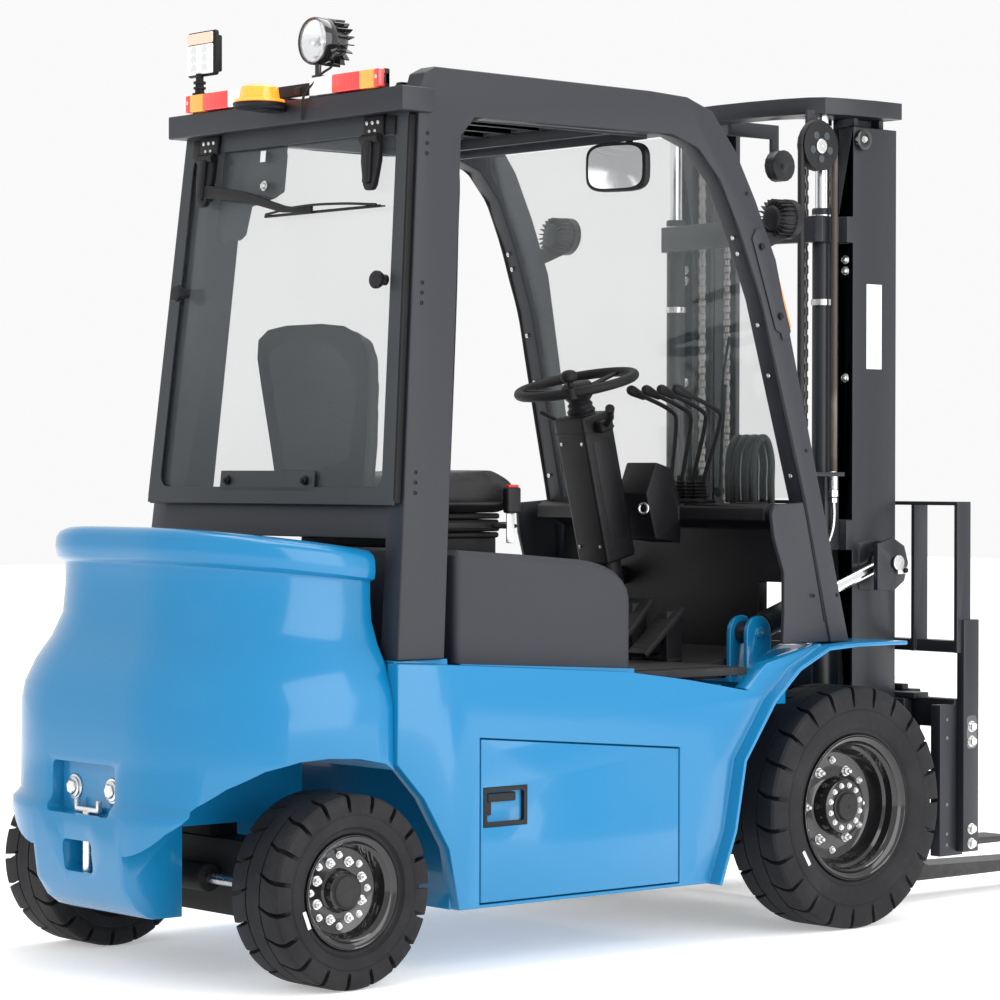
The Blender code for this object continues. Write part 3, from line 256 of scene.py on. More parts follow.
def body_of(node):
    return next(body for body, nodes in frame["record"]["behaviour"]["bodies"].items() if node in nodes)


def slot_of(node):
    return next(row["material_slot"] for row in frame["record"]["subparts"] if row["node"] == node)


def twins(name):
    """The node of this name, or its right and left twins where the name ends in an underscore."""
    return [name + side for side in SIDES] if name.endswith("_") else [name]


def dressed(node, finish, width=0.0015, segments=2, name=None):
    """A merged copy of a CAD node with rounded edges, which stands for it."""
    piece = linked(node + "_shell", frame["nodes"][node].data.copy())
    edit(
        piece,
        (bpy.ops.mesh.remove_doubles, {"threshold": WELD}),
        (bpy.ops.mesh.dissolve_limited, {"angle_limit": FLAT}),
    )
    if width:
        rounded(piece, width, segments)
    return finished(piece, name or node + "_shell", finish, body_of(node), slot_of(node), node)


def bolt(size, thick=0.6, washer=1.35, stud=0.0):
    """A hex head on its washer, with a chamfered top, about +Z from the ground it sits on."""
    bpy.ops.object.select_all(action="DESELECT")
    bpy.ops.mesh.primitive_cylinder_add(vertices=6, radius=size, depth=thick * size,
                                        location=(0, 0, 0.15 * size + thick * size / 2))
    head = bpy.context.object
    bpy.ops.object.transform_apply()
    edit(head, (bpy.ops.mesh.bevel, {"offset": 0.12 * size, "segments": 1, "affect": "EDGES"}))
    parts = [head]
    if washer:
        parts.append(spun([(0, 0), (0, washer * size), (0.10 * size, washer * size),
                           (0.17 * size, washer * size * 0.95), (0.17 * size, 0)], HOME, steps=18))
    if stud:
        top = thick * size + 0.15 * size
        parts.append(spun([(top * 0.9, 0), (top * 0.9, size * 0.5), (top + stud * 0.85, size * 0.5),
                           (top + stud, size * 0.38), (top + stud, 0)], HOME, steps=12))
    return joined(*parts)


# ---- finishes ------------------------------------------------------------------------------
FINISHES = {}


class Value:
    """A shader socket that takes part in Python sums."""

    def __init__(self, finish, socket):
        self.finish, self.socket = finish, socket

    def sum(self, operation, first, second):
        return self.finish.node("ShaderNodeMath", {"operation": operation}, {0: first, 1: second})

    def __add__(self, other):
        return self.sum("ADD", self, other)

    def __sub__(self, other):
        return self.sum("SUBTRACT", self, other)

    def __rsub__(self, other):
        return self.sum("SUBTRACT", other, self)

    def __mul__(self, other):
        return self.sum("MULTIPLY", self, other)

    __radd__, __rmul__ = __add__, __mul__

    def clear(self, low, high):
        """0 below low, 1 above high, and a straight line between."""
        return self.finish.node("ShaderNodeMapRange", {"clamp": True},
                                {"Value": self, "From Min": low, "From Max": high})


class Finish:
    """One procedural material."""

    def __init__(self, name, **sockets):
        self.material = bpy.data.materials.new(name)
        self.material.use_nodes = True
        self.tree = self.material.node_tree
        self.shader = self.tree.nodes["Principled BSDF"]
        self.place = self.node("ShaderNodeTexCoord", {}, {}, "Object")
        self.set(**sockets)
        FINISHES[name] = self.material

    def node(self, kind, settings, inputs, output=0):
        made = self.tree.nodes.new(kind)
        for key, value in settings.items():
            setattr(made, key, value)
        for key, value in inputs.items():
            if isinstance(value, Value):
                self.tree.links.new(value.socket, made.inputs[key])
            else:
                made.inputs[key].default_value = value
        return Value(self, made.outputs[output])

    def set(self, **sockets):
        for key, value in sockets.items():
            socket = self.shader.inputs[key.replace("_", " ")]
            if isinstance(value, Value):
                self.tree.links.new(value.socket, socket)
            else:
                socket.default_value = (*value, 1) if isinstance(value, tuple) and len(value) == 3 else value
        return self

    def noise(self, scale, detail=3.0, stretch=(1, 1, 1)):
        place = self.place
        if stretch != (1, 1, 1):
            place = self.node("ShaderNodeMapping", {}, {"Vector": place, "Scale": stretch})
        return self.node("ShaderNodeTexNoise", {}, {"Vector": place, "Scale": scale, "Detail": detail})

    def cells(self, scale):
        return self.node("ShaderNodeTexVoronoi", {}, {"Vector": self.place, "Scale": scale}, "Distance")

    def height(self):
        return self.node("ShaderNodeSeparateXYZ", {}, {"Vector": self.place}, "Z")

    def mix(self, share, first, second):
        return self.node("ShaderNodeMix", {"data_type": "RGBA"},
                         {0: share, 6: (*first, 1) if isinstance(first, tuple) else first,
                          7: (*second, 1) if isinstance(second, tuple) else second}, 2)

    def bump(self, relief, strength, depth=0.001):
        made = self.node("ShaderNodeBump", {}, {"Strength": strength, "Distance": depth, "Height": relief})
        return self.set(Normal=made)


def painted(name, colour, dusty, rough, coat=0.0, grain=(900, 0.08), dust_top=0.45, dust=0.12, sheen=0.28):
    """Sprayed paint: fine orange peel, patchy gloss, and road dust that thins out with height."""
    made = Finish(name, Coat_Roughness=0.06, Specular_IOR_Level=sheen)
    patch = made.noise(2.2, 4.0)
    low = 1 - made.height().clear(0.0, dust_top)
    speck = made.noise(60, 6.0).clear(0.45, 0.80)
    grime = low * dust + low * speck * (dust * 1.2) + patch * 0.03
    made.set(Base_Color=made.mix(grime, colour, dusty), Roughness=patch * 0.08 + grime * 0.5 + (rough - 0.04))
    if coat:
        made.set(Coat_Weight=coat - grime * 0.6)
    made.bump(made.noise(grain[0], 2.0), grain[1])
    return made


def moulded(name, colour, rough, pattern, depth, worn=(0.10, 0.10, 0.105), wear=0.08, metal=0.0):
    """Moulded or cast stuff with a fine cell grain and faint scuffs."""
    made = Finish(name, Metallic=metal, Specular_IOR_Level=0.30)
    scuff = made.noise(7, 6.0).clear(0.52, 0.78)
    made.set(Base_Color=made.mix(scuff * wear, colour, worn), Roughness=made.noise(14) * 0.14
             + (rough - 0.07))
    made.bump(made.cells(pattern) + made.noise(pattern * 0.4) * 0.6, depth)
    return made


def metal(name, colour, rough, streak=(1, 1, 1), dirt=0.15, glow=0.0):
    """Bare or plated metal under a film of dirt; a glow, where given, is a painted reflection that lights it
    evenly.
    """
    made = Finish(name, Metallic=1.0, Emission_Color=(*colour, 1), Emission_Strength=glow)
    film = made.noise(38, 5.0).clear(0.50, 0.85)
    made.set(Base_Color=made.mix(film * dirt, colour, (0.05, 0.045, 0.04)),
             Roughness=made.noise(120, 3.0, streak) * 0.16 + rough)
    made.bump(made.noise(420, 2.0, streak), 0.05)
    return made


def lens(name, colour, glow=0.0):
    """Moulded lamp plastic with fine upright flutes; lit ones glow."""
    made = Finish(name, Roughness=0.10, IOR=1.5, Coat_Weight=0.6, Coat_Roughness=0.03)
    across = made.node("ShaderNodeSeparateXYZ", {}, {"Vector": made.place}, "X")
    flute = made.node("ShaderNodeMath", {"operation": "SINE"}, {0: across * 900.0})
    made.set(Base_Color=made.mix(flute * 0.10 + 0.10, colour, tuple(min(1, c * 0.4 + 0.25) for c in colour)))
    if glow:
        made.set(Emission_Color=(*colour, 1), Emission_Strength=glow)
    made.bump(flute, 0.35, 0.0006)
    return made


def pane(name, colour, alpha):
    """Flat glass: a tinted film that lets light through, with faint wiping marks."""
    made = Finish(name, Roughness=0.015, Specular_IOR_Level=0.8, Coat_Weight=1.0, Coat_Roughness=0.01)
    made.set(Base_Color=colour, Alpha=made.noise(1.6, 5.0).clear(0.35, 0.8) * 0.05 + alpha)
    return made


def make_finishes(look):
    painted("blue enamel", tuple(look.paint), (0.14, 0.26, 0.36), 0.22, coat=0.42, grain=(260, 0.035),
            dust_top=0.32,
            dust=0.05, sheen=0.32)
    painted("guard paint", (0.0150, 0.0168, 0.0225), (0.05, 0.05, 0.055), 0.44, grain=(1400, 0.28),
            dust=0.04, sheen=0.42)
    painted("mast paint", (0.0120, 0.0136, 0.0180), (0.06, 0.058, 0.058), 0.38, coat=0.06, grain=(700, 0.12),
            dust=0.07, sheen=0.40)
    painted("axle paint", (0.006, 0.006, 0.007), (0.07, 0.065, 0.06), 0.48, grain=(420, 0.2), dust=0.30)
    painted("rim paint", (0.008, 0.008, 0.009), (0.06, 0.06, 0.06), 0.13, coat=0.8, grain=(300, 0.03),
            dust=0.04)
    painted("fork paint", (0.012, 0.012, 0.013), (0.10, 0.098, 0.095), 0.36, grain=(500, 0.16), dust=0.22)
    moulded("black plastic", (0.0045, 0.0045, 0.0060), 0.46, 1300, 0.22)
    moulded("hood plastic", (0.0260, 0.0275, 0.0345), 0.50, 1700, 0.35, wear=0.05)
    moulded("soft grip", (0.0045, 0.0045, 0.0055), 0.58, 900, 0.30)
    moulded("seat vinyl", (0.011, 0.011, 0.012), 0.44, 520, 0.55, worn=(0.05, 0.05, 0.052), wear=0.25)
    moulded("floor rubber", (0.020, 0.020, 0.021), 0.78, 300, 0.35, worn=(0.12, 0.115, 0.11), wear=0.25)
    moulded("hose rubber", (0.012, 0.012, 0.013), 0.52, 800, 0.15)
    moulded("worn hose", (0.060, 0.045, 0.040), 0.40, 500, 0.10, worn=(0.35, 0.30, 0.26), wear=0.5)
    moulded("cast grey", (0.32, 0.33, 0.34), 0.45, 600, 0.20, worn=(0.5, 0.5, 0.5), metal=0.6)
    moulded("grey plastic", (0.22, 0.23, 0.24), 0.50, 900, 0.15, worn=(0.4, 0.4, 0.4))
    moulded("white plastic", (0.66, 0.68, 0.69), 0.38, 900, 0.08, worn=(0.45, 0.45, 0.45))
    moulded("orange plastic", (0.80, 0.25, 0.05), 0.40, 900, 0.10, worn=(0.5, 0.2, 0.1))
    moulded("red plastic", (0.55, 0.02, 0.02), 0.36, 900, 0.10, worn=(0.3, 0.05, 0.05))
    tyre = Finish("tyre rubber", Specular_IOR_Level=0.22)
    dust = tyre.noise(9, 7.0).clear(0.42, 0.72)
    scuffs = tyre.noise(75, 5.0).clear(0.55, 0.75)
    tyre.set(Base_Color=tyre.mix(dust * 0.10 + scuffs * 0.08, (0.0085, 0.0085, 0.0100),
                                 (0.085, 0.083, 0.082)),
             Roughness=tyre.noise(20) * 0.18 + 0.55)
    tyre.bump(tyre.noise(520, 4.0) + tyre.noise(60, 4.0) * 0.8, 0.18)
    metal("zinc", (0.74, 0.74, 0.73), 0.20)
    metal("hard chrome", (0.86, 0.87, 0.88), 0.05, (1, 1, 12), dirt=0.04)
    metal("chain steel", (0.34, 0.33, 0.32), 0.30, dirt=0.5)
    metal("brass fitting", (0.72, 0.47, 0.16), 0.28)
    # The mirror's glow is a painted reflection: it brightens the face though the mirror is no lamp.
    metal("mirror silver", (0.86, 0.88, 0.89), 0.0, dirt=0.02, glow=0.42)
    metal("lamp bowl", (0.92, 0.93, 0.94), 0.06, dirt=0.02)
    lens("amber lens", (0.95, 0.30, 0.02), glow=0.35)
    lens("lit amber", (1.0, 0.27, 0.015), glow=1.1)
    lens("red lens", (0.75, 0.015, 0.012), glow=0.12)
    lens("white lens", (0.86, 0.86, 0.84), glow=0.05)
    moulded("grey border", (0.030, 0.034, 0.038), 0.40, 900, 0.05)
    lens("pale amber", (0.92, 0.60, 0.45))
    pane("clear glass", tuple(look.glass), 0.13)
    pane("tinted glass", (0.13, 0.15, 0.16), 0.13)
    pane("lamp glass", (0.75, 0.78, 0.80), 0.22)
    # The screen finish also serves as painted shade: thin dark discs and sheets laid where holes, slots and
    # the cup well are.
    screen = Finish("screen", Base_Color=(0.02, 0.03, 0.035), Roughness=0.08, Coat_Weight=1.0)
    screen.bump(screen.noise(40), 0.01)


class FORKLIFT_OT_shells(bpy.types.Operator):
    """Every plain metal or plastic piece of the frame, with rounded edges and its own finish"""

    bl_idname = "forklift.shells"
    bl_label = "Body shells"

    def execute(self, context):
        edge = context.scene.forklift_look.edge
        for name, finish, width in (
            ("chassis_frame", "blue enamel", edge * 1.2), ("side_door_", "blue enamel", edge),
            ("battery", "axle paint", edge), ("drive_axle", "axle paint", edge),
                                    ("steer_axle", "axle paint", edge),
            ("steering_knuckle_", "axle paint", edge * 0.6), ("overhead_guard", "guard paint", edge * 1.6),
            ("roof_bars", "guard paint", edge), ("rear_window_frame", "soft grip", edge),
                                    ("tow_pin", "zinc", edge * 0.7),
            ("outer_mast", "mast paint", edge * 0.8), ("inner_mast", "mast paint", edge * 0.8),
            ("lift_cylinder_", "mast paint", edge * 0.5), ("hose_wheel", "black plastic", 0.0006),
            ("carriage", "mast paint", edge), ("side_shifter", "mast paint", edge),
            ("load_backrest", "mast paint", edge * 0.7), ("fork_", "fork paint", edge),
            ("tilt_cylinder_", "mast paint", edge * 0.5),
        ):
            for node in twins(name):
                dressed(node, finish, width)
        for name, finish in (
            ("rear_window", "tinted glass"), ("windscreen", "clear glass"), ("steering_rod", "zinc"),
            ("lift_rod_", "hard chrome"), ("tilt_rod_", "hard chrome"),
        ):
            for node in twins(name):
                shape = frame["nodes"][node]
                shape.data.materials.clear()
                shape.data.materials.append(FINISHES[finish])
        return {"FINISHED"}


# ---- wheels --------------------------------------------------------------------------------
def carcass(half, radius, rim, wall, groove):
    """The solid tyre's section: bead, ringed sidewall, square shoulder and a tread with two round grooves."""
    side = [
        (half * 0.80, rim), (half * 0.86, rim + 0.006), (half * 0.865, rim + 0.013),
            (half * 0.91, rim + 0.017),
        (half * 0.955, rim + 0.4 * (wall - rim)), (half * 0.985, wall - 0.014), (half * 0.99, wall - 0.006),
        (half * 0.965, wall - 0.002), (half * 0.985, wall + 0.003), (half, wall + 0.010),
        (half * 0.995, radius - 0.018), (half * 0.965, radius - 0.007), (half * 0.90, radius - 0.0015),
        (half * 0.80, radius), (groove + 0.0022, radius), (groove + 0.0016, radius - 0.009),
        (groove - 0.0016, radius - 0.009), (groove - 0.0022, radius),
    ]
    return side + [(-a, r) for a, r in reversed(side)] + [side[0]]


def tread_cutters(half, radius, wall, groove, lugs):
    """Bent slots from the sidewall over the shoulder to just past the groove, staggered left and right."""
    corners = []
    for i in range(lugs):
        for side in (-1, 1):
            turn = Matrix.Rotation(TAU * (i + 0.25 * side) / lugs, 3, "X")
            for along, across, low, wide in (
                (half + 0.02, 0.000, wall + 0.001, 0.0050), (half * 0.985, 0.000, wall + 0.002, 0.0050),
                (half * 0.90, 0.001, radius - 0.030, 0.0048), (half * 0.62, 0.004, radius - 0.017, 0.0045),
                (groove - 0.006, 0.018, radius - 0.013, 0.0030),
            ):
                ring = [(-wide, low), (wide, low), (wide * 1.25, radius + 0.02),
                        (-wide * 1.25, radius + 0.02)]
                corners.append([turn @ Vector((side * along, across + a, r)) for a, r in ring])
    points = [point for ring in corners for point in ring]
    faces = []
    for start in range(0, len(points), 20):
        for k in range(start, start + 16, 4):
            faces += [(k + i, k + (i + 1) % 4, k + 4 + (i + 1) % 4, k + 4 + i) for i in range(4)]
        faces += [tuple(range(start, start + 4)), tuple(range(start + 16, start + 20))]
    mesh = bpy.data.meshes.new("slots")
    mesh.from_pydata(points, [], faces)
    return edit(linked("slots", mesh), (bpy.ops.mesh.normals_make_consistent, {}))


def cut_by(piece, cutter):
    """Cuts one closed piece out of another and removes the cutter."""
    modify(piece, "BOOLEAN", object=cutter, operation="DIFFERENCE", solver="MANIFOLD")
    bpy.data.objects.remove(cutter, do_unlink=True)
    return piece


def make_tyre(node, half, radius, rim, wall, groove, lugs, tag):
    centre = sum(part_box(node), Vector()) / 2
    side = 1 if centre.x > 0 else -1
    tyre = spun(carcass(half, radius, rim, wall, groove), HOME, RIGHT, steps=96)
    cut_by(tyre, tread_cutters(half, radius, wall, groove, lugs))
    tyre.data.transform(Matrix.Translation(centre))
    finished(tyre, node + "_tread", "tyre rubber", body_of(node), slot_of(node), node, angle=28)
    plate = block(-0.0012, 0.0012, -0.005, 0.005, -0.022, 0.022, 0.0010)
    rivets = copies(spun([(0, 0), (0, 0.0022), (0.0012, 0.0018), (0.0016, 0)], HOME, RIGHT, 10),
                    [Matrix.Translation(at(0.0011, 0, z)) for z in (-0.018, 0.018)])
    joined(plate, rivets)
    place = Vector((side * (half * 0.967), tag[0], tag[1]))
    lean = Matrix.Rotation(atan2(tag[1], tag[0]) + pi, 4, "X") @ Matrix.Rotation(0 if side > 0 else pi, 4,
                                                                                 "Z")
    plate.data.transform(Matrix.Translation(centre + place) @ lean @ Matrix.Translation((0, -AXLE_Y, 0)))
    finished(plate, node + "_tag", "zinc", body_of(node), "bright_steel")


def ring_of(count, radius, offset=0.0, along=0.0, side=1):
    """Places around +X or -X with each copy's own +Z pointing outwards."""
    lay = Matrix.Rotation(pi / 2 * side, 4, "Y")
    return [Matrix.Rotation(TAU * (i + offset) / count, 4, "X") @ Matrix.Translation((along, 0, radius)) @ lay
            for i in range(count)]


def make_rim(node, section, nuts, hub):
    """A pressed rim spun from its section, with its nuts, studs and hub cap."""
    centre = sum(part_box(node), Vector()) / 2
    centre.x = sum(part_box(node.replace("rim", "tyre")), Vector()).x / 2
    side = 1 if centre.x > 0 else -1
    rim = spun([(side * a, r) for a, r in section], centre, RIGHT, steps=96)
    finished(rim, node + "_pressing", "rim paint", body_of(node), slot_of(node), node, angle=32)
    bright = []
    for count, radius, offset, along, size, stud in nuts:
        head = bolt(size, 0.75, 1.25, stud)
        bright.append(copies(head, [Matrix.Translation(centre) @ place
                                    for place in ring_of(count, radius, offset, side * along, side)]))
    finished(joined(*bright), node + "_nuts", "zinc", body_of(node), "bright_steel", angle=30)
    cap = spun([(side * a, r) for a, r in hub], centre, RIGHT, steps=48)
    finished(cap, node + "_cap", "axle paint", body_of(node), slot_of(node), angle=30)


class FORKLIFT_OT_wheels(bpy.types.Operator):
    """Solid tyres with slotted treads, pressed rims, nuts and hub caps"""

    bl_idname = "forklift.wheels"
    bl_label = "Wheels"

    def execute(self, context):
        sizes = context.scene.forklift_wheels
        for side in SIDES:
            make_tyre("front_tyre_" + side, 0.0875, 0.316, 0.1893, 0.258, 0.028, sizes.front_slots,
                      (-0.190, -0.118))
            make_tyre("rear_tyre_" + side, 0.0900, 0.225, 0.1313, 0.181, 0.026, sizes.rear_slots,
                      (-0.136, -0.052))
            make_rim(
                "front_rim_" + side,
                [(0.040, 0), (0.040, 0.066), (0.038, 0.070), (0.034, 0.072), (-0.004, 0.0735),
                 (-0.0075, 0.080),
                 (-0.0075, 0.128), (-0.004, 0.138), (0.010, 0.148), (0.030, 0.153), (0.036, 0.160),
                 (0.055, 0.164),
                 (0.060, 0.170), (0.067, 0.173), (0.070, 0.180), (0.0745, 0.1855), (0.0785, 0.1875),
                 (0.0790, 0.1890), (0.070, 0.1890), (-0.070, 0.1890), (-0.077, 0.1880), (-0.077, 0.171),
                 (-0.020, 0.160), (-0.020, 0.032), (0.017, 0.031), (0.017, 0)],
                ((sizes.front_nuts, 0.100, 0.5, -0.0075, 0.0115, 0.010),
                 (sizes.front_nuts, 0.118, 0.0, -0.0075, 0.0080, 0.004),
                 (12, 0.056, 0.5, 0.040, 0.0062, 0.0)),
                [(0.039, 0), (0.039, 0.044), (0.0430, 0.044), (0.0440, 0.0425), (0.0445, 0.0370),
                 (0.050, 0.0355),
                 (0.0520, 0.0335), (0.0522, 0.006), (0.0500, 0.004), (0.0500, 0)],
            )
            make_rim(
                "rear_rim_" + side,
                [(0.060, 0), (0.060, 0.040), (0.055, 0.045), (0.034, 0.047), (0.030, 0.052), (0.030, 0.092),
                 (0.034, 0.099), (0.050, 0.105), (0.062, 0.109), (0.066, 0.114), (0.072, 0.118),
                 (0.074, 0.124),
                 (0.0780, 0.1285), (0.0800, 0.1300), (0.0800, 0.1310), (0.070, 0.1310), (-0.070, 0.1310),
                 (-0.079, 0.1305), (-0.079, 0.113), (0.018, 0.101), (0.018, 0.032), (0.045, 0.031),
                 (0.045, 0)],
                ((sizes.rear_nuts, 0.070, 0.5, 0.030, 0.0100, 0.007),
                 (sizes.rear_nuts, 0.082, 0.0, 0.030, 0.0072, 0.004)),
                [(0.058, 0), (0.058, 0.041), (0.0605, 0.041), (0.0625, 0.038), (0.0650, 0.0370),
                 (0.0665, 0.0345),
                 (0.0675, 0.028), (0.0678, 0)],
            )
        return {"FINISHED"}


class Wheels(bpy.types.PropertyGroup):
    """Counts on the wheels."""

    front_slots: IntProperty(name="Front tread slots", description="Slots on each shoulder of a front tyre",
                             default=23, min=6)
    rear_slots: IntProperty(name="Rear tread slots", description="Slots on each shoulder of a rear tyre",
                            default=19, min=6)
    front_nuts: IntProperty(name="Front wheel nuts", description="Nuts in each ring of a front rim",
                            default=6, min=3)
    rear_nuts: IntProperty(name="Rear wheel nuts", description="Nuts in each ring of a rear rim", default=8,
                           min=3)


# ---- counterweight ---------------------------------------------------------------------------
def rounded_box(x0, x1, y0, y1, z0, z1, radius, axis="Y", segments=5):
    """A box whose four edges along one axis are rounded, for cutting pockets."""
    low, high = (x0, y0, z0), (x1, y1, z1)
    a, b = {"Y": (0, 2), "X": (1, 2), "Z": (0, 1)}[axis]
    c = 3 - a - b
    outline = []
    for sa, sb, start in ((1, 1, 0), (-1, 1, 1), (-1, -1, 2), (1, -1, 3)):
        ca = (high[a] if sa > 0 else low[a]) - sa * radius
        cb = (high[b] if sb > 0 else low[b]) - sb * radius
        for i in range(segments + 1):
            angle = pi / 2 * (start + i / segments)
            outline.append((ca + radius * cos(angle), cb + radius * sin(angle)))
    return sheet_cut(outline, axis, low[c], high[c], 0)


class FORKLIFT_OT_counterweight(bpy.types.Operator):
    """The cast counterweight, its pocket, bolts and slot"""

    bl_idname = "forklift.counterweight"
    bl_label = "Counterweight"

    def execute(self, context):
        shape = context.scene.forklift_weight
        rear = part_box("counterweight")[0].y - AXLE_Y
        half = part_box("counterweight")[1].x
        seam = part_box("counterweight")[1].y - AXLE_Y
        levels = [
            (0.150, 0.085, 0), (0.156, 0.068, 0), (0.180, 0.038, 0), (0.226, 0.010, 0), (0.300, 0.0002, 0),
                  (0.385, 0.0005, 0),
            (0.402, 0.003, 0), (0.414, 0.014, 0), (0.424, 0.0185, 0), (0.520, 0.0195, 0), (0.640, 0.021, 0),
            (0.680, 0.028, 0), (0.735, 0.050, 0), (0.790, 0.082, 0.005), (0.850, 0.104, 0.02),
                  (0.920, 0.109, 0.055),
            (0.975, 0.109, 0.095), (0.983, 0.1085, 0.10), (0.989, 0.099, 0.108), (0.997, 0.092, 0.115),
                  (1.020, 0.0885, 0.125),
            (1.046, 0.090, 0.130), (1.060, 0.097, 0.130), (1.070, 0.112, 0.130), (1.0745, 0.140, 0.130),
                  (1.0750, 0.25, 0.130),
        ]
        steps = shape.corner_steps
        rings = []
        for height, inset, tilt in levels:
            wide, back, radius = half - inset, rear + inset, shape.corner - inset / 2
            right = [(wide, seam)] + [(wide, seam - k * (seam - back - radius) / 3) for k in (1, 2)]
            right += [(wide - radius + radius * cos(pi / 2 * i / steps), back + radius
                       - radius * sin(pi / 2 * i / steps))
                      for i in range(steps + 1)]
            right += [((wide - radius) * k, back) for k in (0.66, 0.33)]
            line = right + [(0, back)] + [(-x, y) for x, y in reversed(right)]
            rings.append([at(x, y, height - tilt * (y - rear)) for x, y in line])
        count = len(rings[0])
        faces = [(k * count + i, k * count + i + 1, (k + 1) * count + i + 1, (k + 1) * count + i)
                 for k in range(len(rings) - 1) for i in range(count - 1)]
        faces += [(k * count, (k + 1) * count, (k + 2) * count - 1, (k + 1) * count - 1)
                  for k in range(len(rings) - 1)]
        faces += [tuple(range(count)), tuple(range((len(rings) - 1) * count, len(rings) * count))]
        mesh = bpy.data.meshes.new("cast")
        mesh.from_pydata([point for ring in rings for point in ring], [], faces)
        cast = edit(linked("cast", mesh), (bpy.ops.mesh.normals_make_consistent, {}))
        well = [(-2.100, 0.100), (-2.065, 0.200), (-2.030, 0.300), (-2.000, 0.362), (-1.962, 0.413),
                (-1.905, 0.466),
                (-1.837, 0.506), (-1.765, 0.526), (-1.695, 0.532), (-1.610, 0.527), (-1.534, 0.512),
                (-1.480, 0.475),
                (-1.429, 0.424), (-1.300, 0.100)]
        cut_by(cast, mirror_too(sheet_cut(well, "X", 0.185, 0.700, 0)))
        cut_by(cast, block(-0.410, 0.410, -1.860, -1.400, 0.100, 0.3600, 0))
        cut_by(cast, rounded_box(-0.130, 0.130, -2.1, rear + 0.050, 0.385, 0.505, 0.014))
        cut_by(cast, rounded_box(-0.060, 0.060, -2.1, rear + 0.085, 0.250, 0.325, 0.014))
        cut_by(cast, spun([(0.228, 0), (0.228, 0.0136), (0.41, 0.0136), (0.41, 0)], at(0, rear + 0.032, 0),
                          steps=20))
        modify(cast, "BEVEL", width=shape.edge, segments=2, limit_method="ANGLE", angle_limit=radians(50))
        finished(cast, "counterweight_casting", "blue enamel", "chassis", "glossy_blue_paint",
                 "counterweight", angle=40)
        heads = copies(bolt(0.0185, 1.25, 1.0), [turned_to(BACK, at(x, rear + 0.0595, 0.442), 0.3 + x)
                                                  for x in (-0.079, 0.079)])
        washers = copies(spun([(0, 0), (0, 0.030), (0.0045, 0.030), (0.0055, 0.029), (0.0055, 0.0245),
                               (0.0095, 0.0240),
                               (0.0100, 0.0230), (0.0100, 0)], HOME, steps=36),
                         [turned_to(BACK, at(x, rear + 0.0505, 0.442)) for x in (-0.079, 0.079)])
        finished(joined(heads, washers), "counterweight_bolts", "zinc", "chassis", "bright_steel", angle=30)
        return {"FINISHED"}


class Weight(bpy.types.PropertyGroup):
    """Shape of the counterweight."""

    corner: FloatProperty(name="Corner radius", description="Plan radius of the rear corners", default=0.385,
                          min=0,
                          subtype="DISTANCE", unit="LENGTH")
    corner_steps: IntProperty(name="Corner steps", description="Faces round each rear corner", default=22,
                              min=4)
    edge: FloatProperty(name="Cast edge", description="Rounding of pockets and arches", default=0.0045, min=0,
                        subtype="DISTANCE", unit="LENGTH")


# ---- guard, rear window, lamps and mirror ----------------------------------------------------
GUARD_HALF, LEAN_FROM, LEAN_OUT, LEAN_RATE, LEAN_BACK, WINDOW_SLOPE = 0.475, 1.1, 0.0345, 0.0559, 0.86, 0.0444


def leaned(piece, slope=0.0):
    """Splays a piece as the guard's sides splay towards the ground; the slope follows the rear pillars."""
    for vertex in piece.data.vertices:
        rise = vertex.co.z - LEAN_FROM
        out = LEAN_OUT - rise * LEAN_RATE
        vertex.co.y += rise * slope - LEAN_BACK * out
        vertex.co.x *= 1 + out / GUARD_HALF
    return piece


def screw(radius, proud=0.35):
    """A round head with a socket, about +Z from the surface it sits on."""
    tall = radius * proud
    return spun([(0, 0), (0, radius), (tall * 0.6, radius), (tall, radius * 0.75), (tall, radius * 0.5),
                 (tall * 0.3, radius * 0.45), (tall * 0.3, 0)], HOME, steps=16)


def chassis_piece(piece, name, finish, slot="black_paint", *nodes, angle=35):
    return finished(piece, name, finish, "chassis", slot, *nodes, angle=angle)


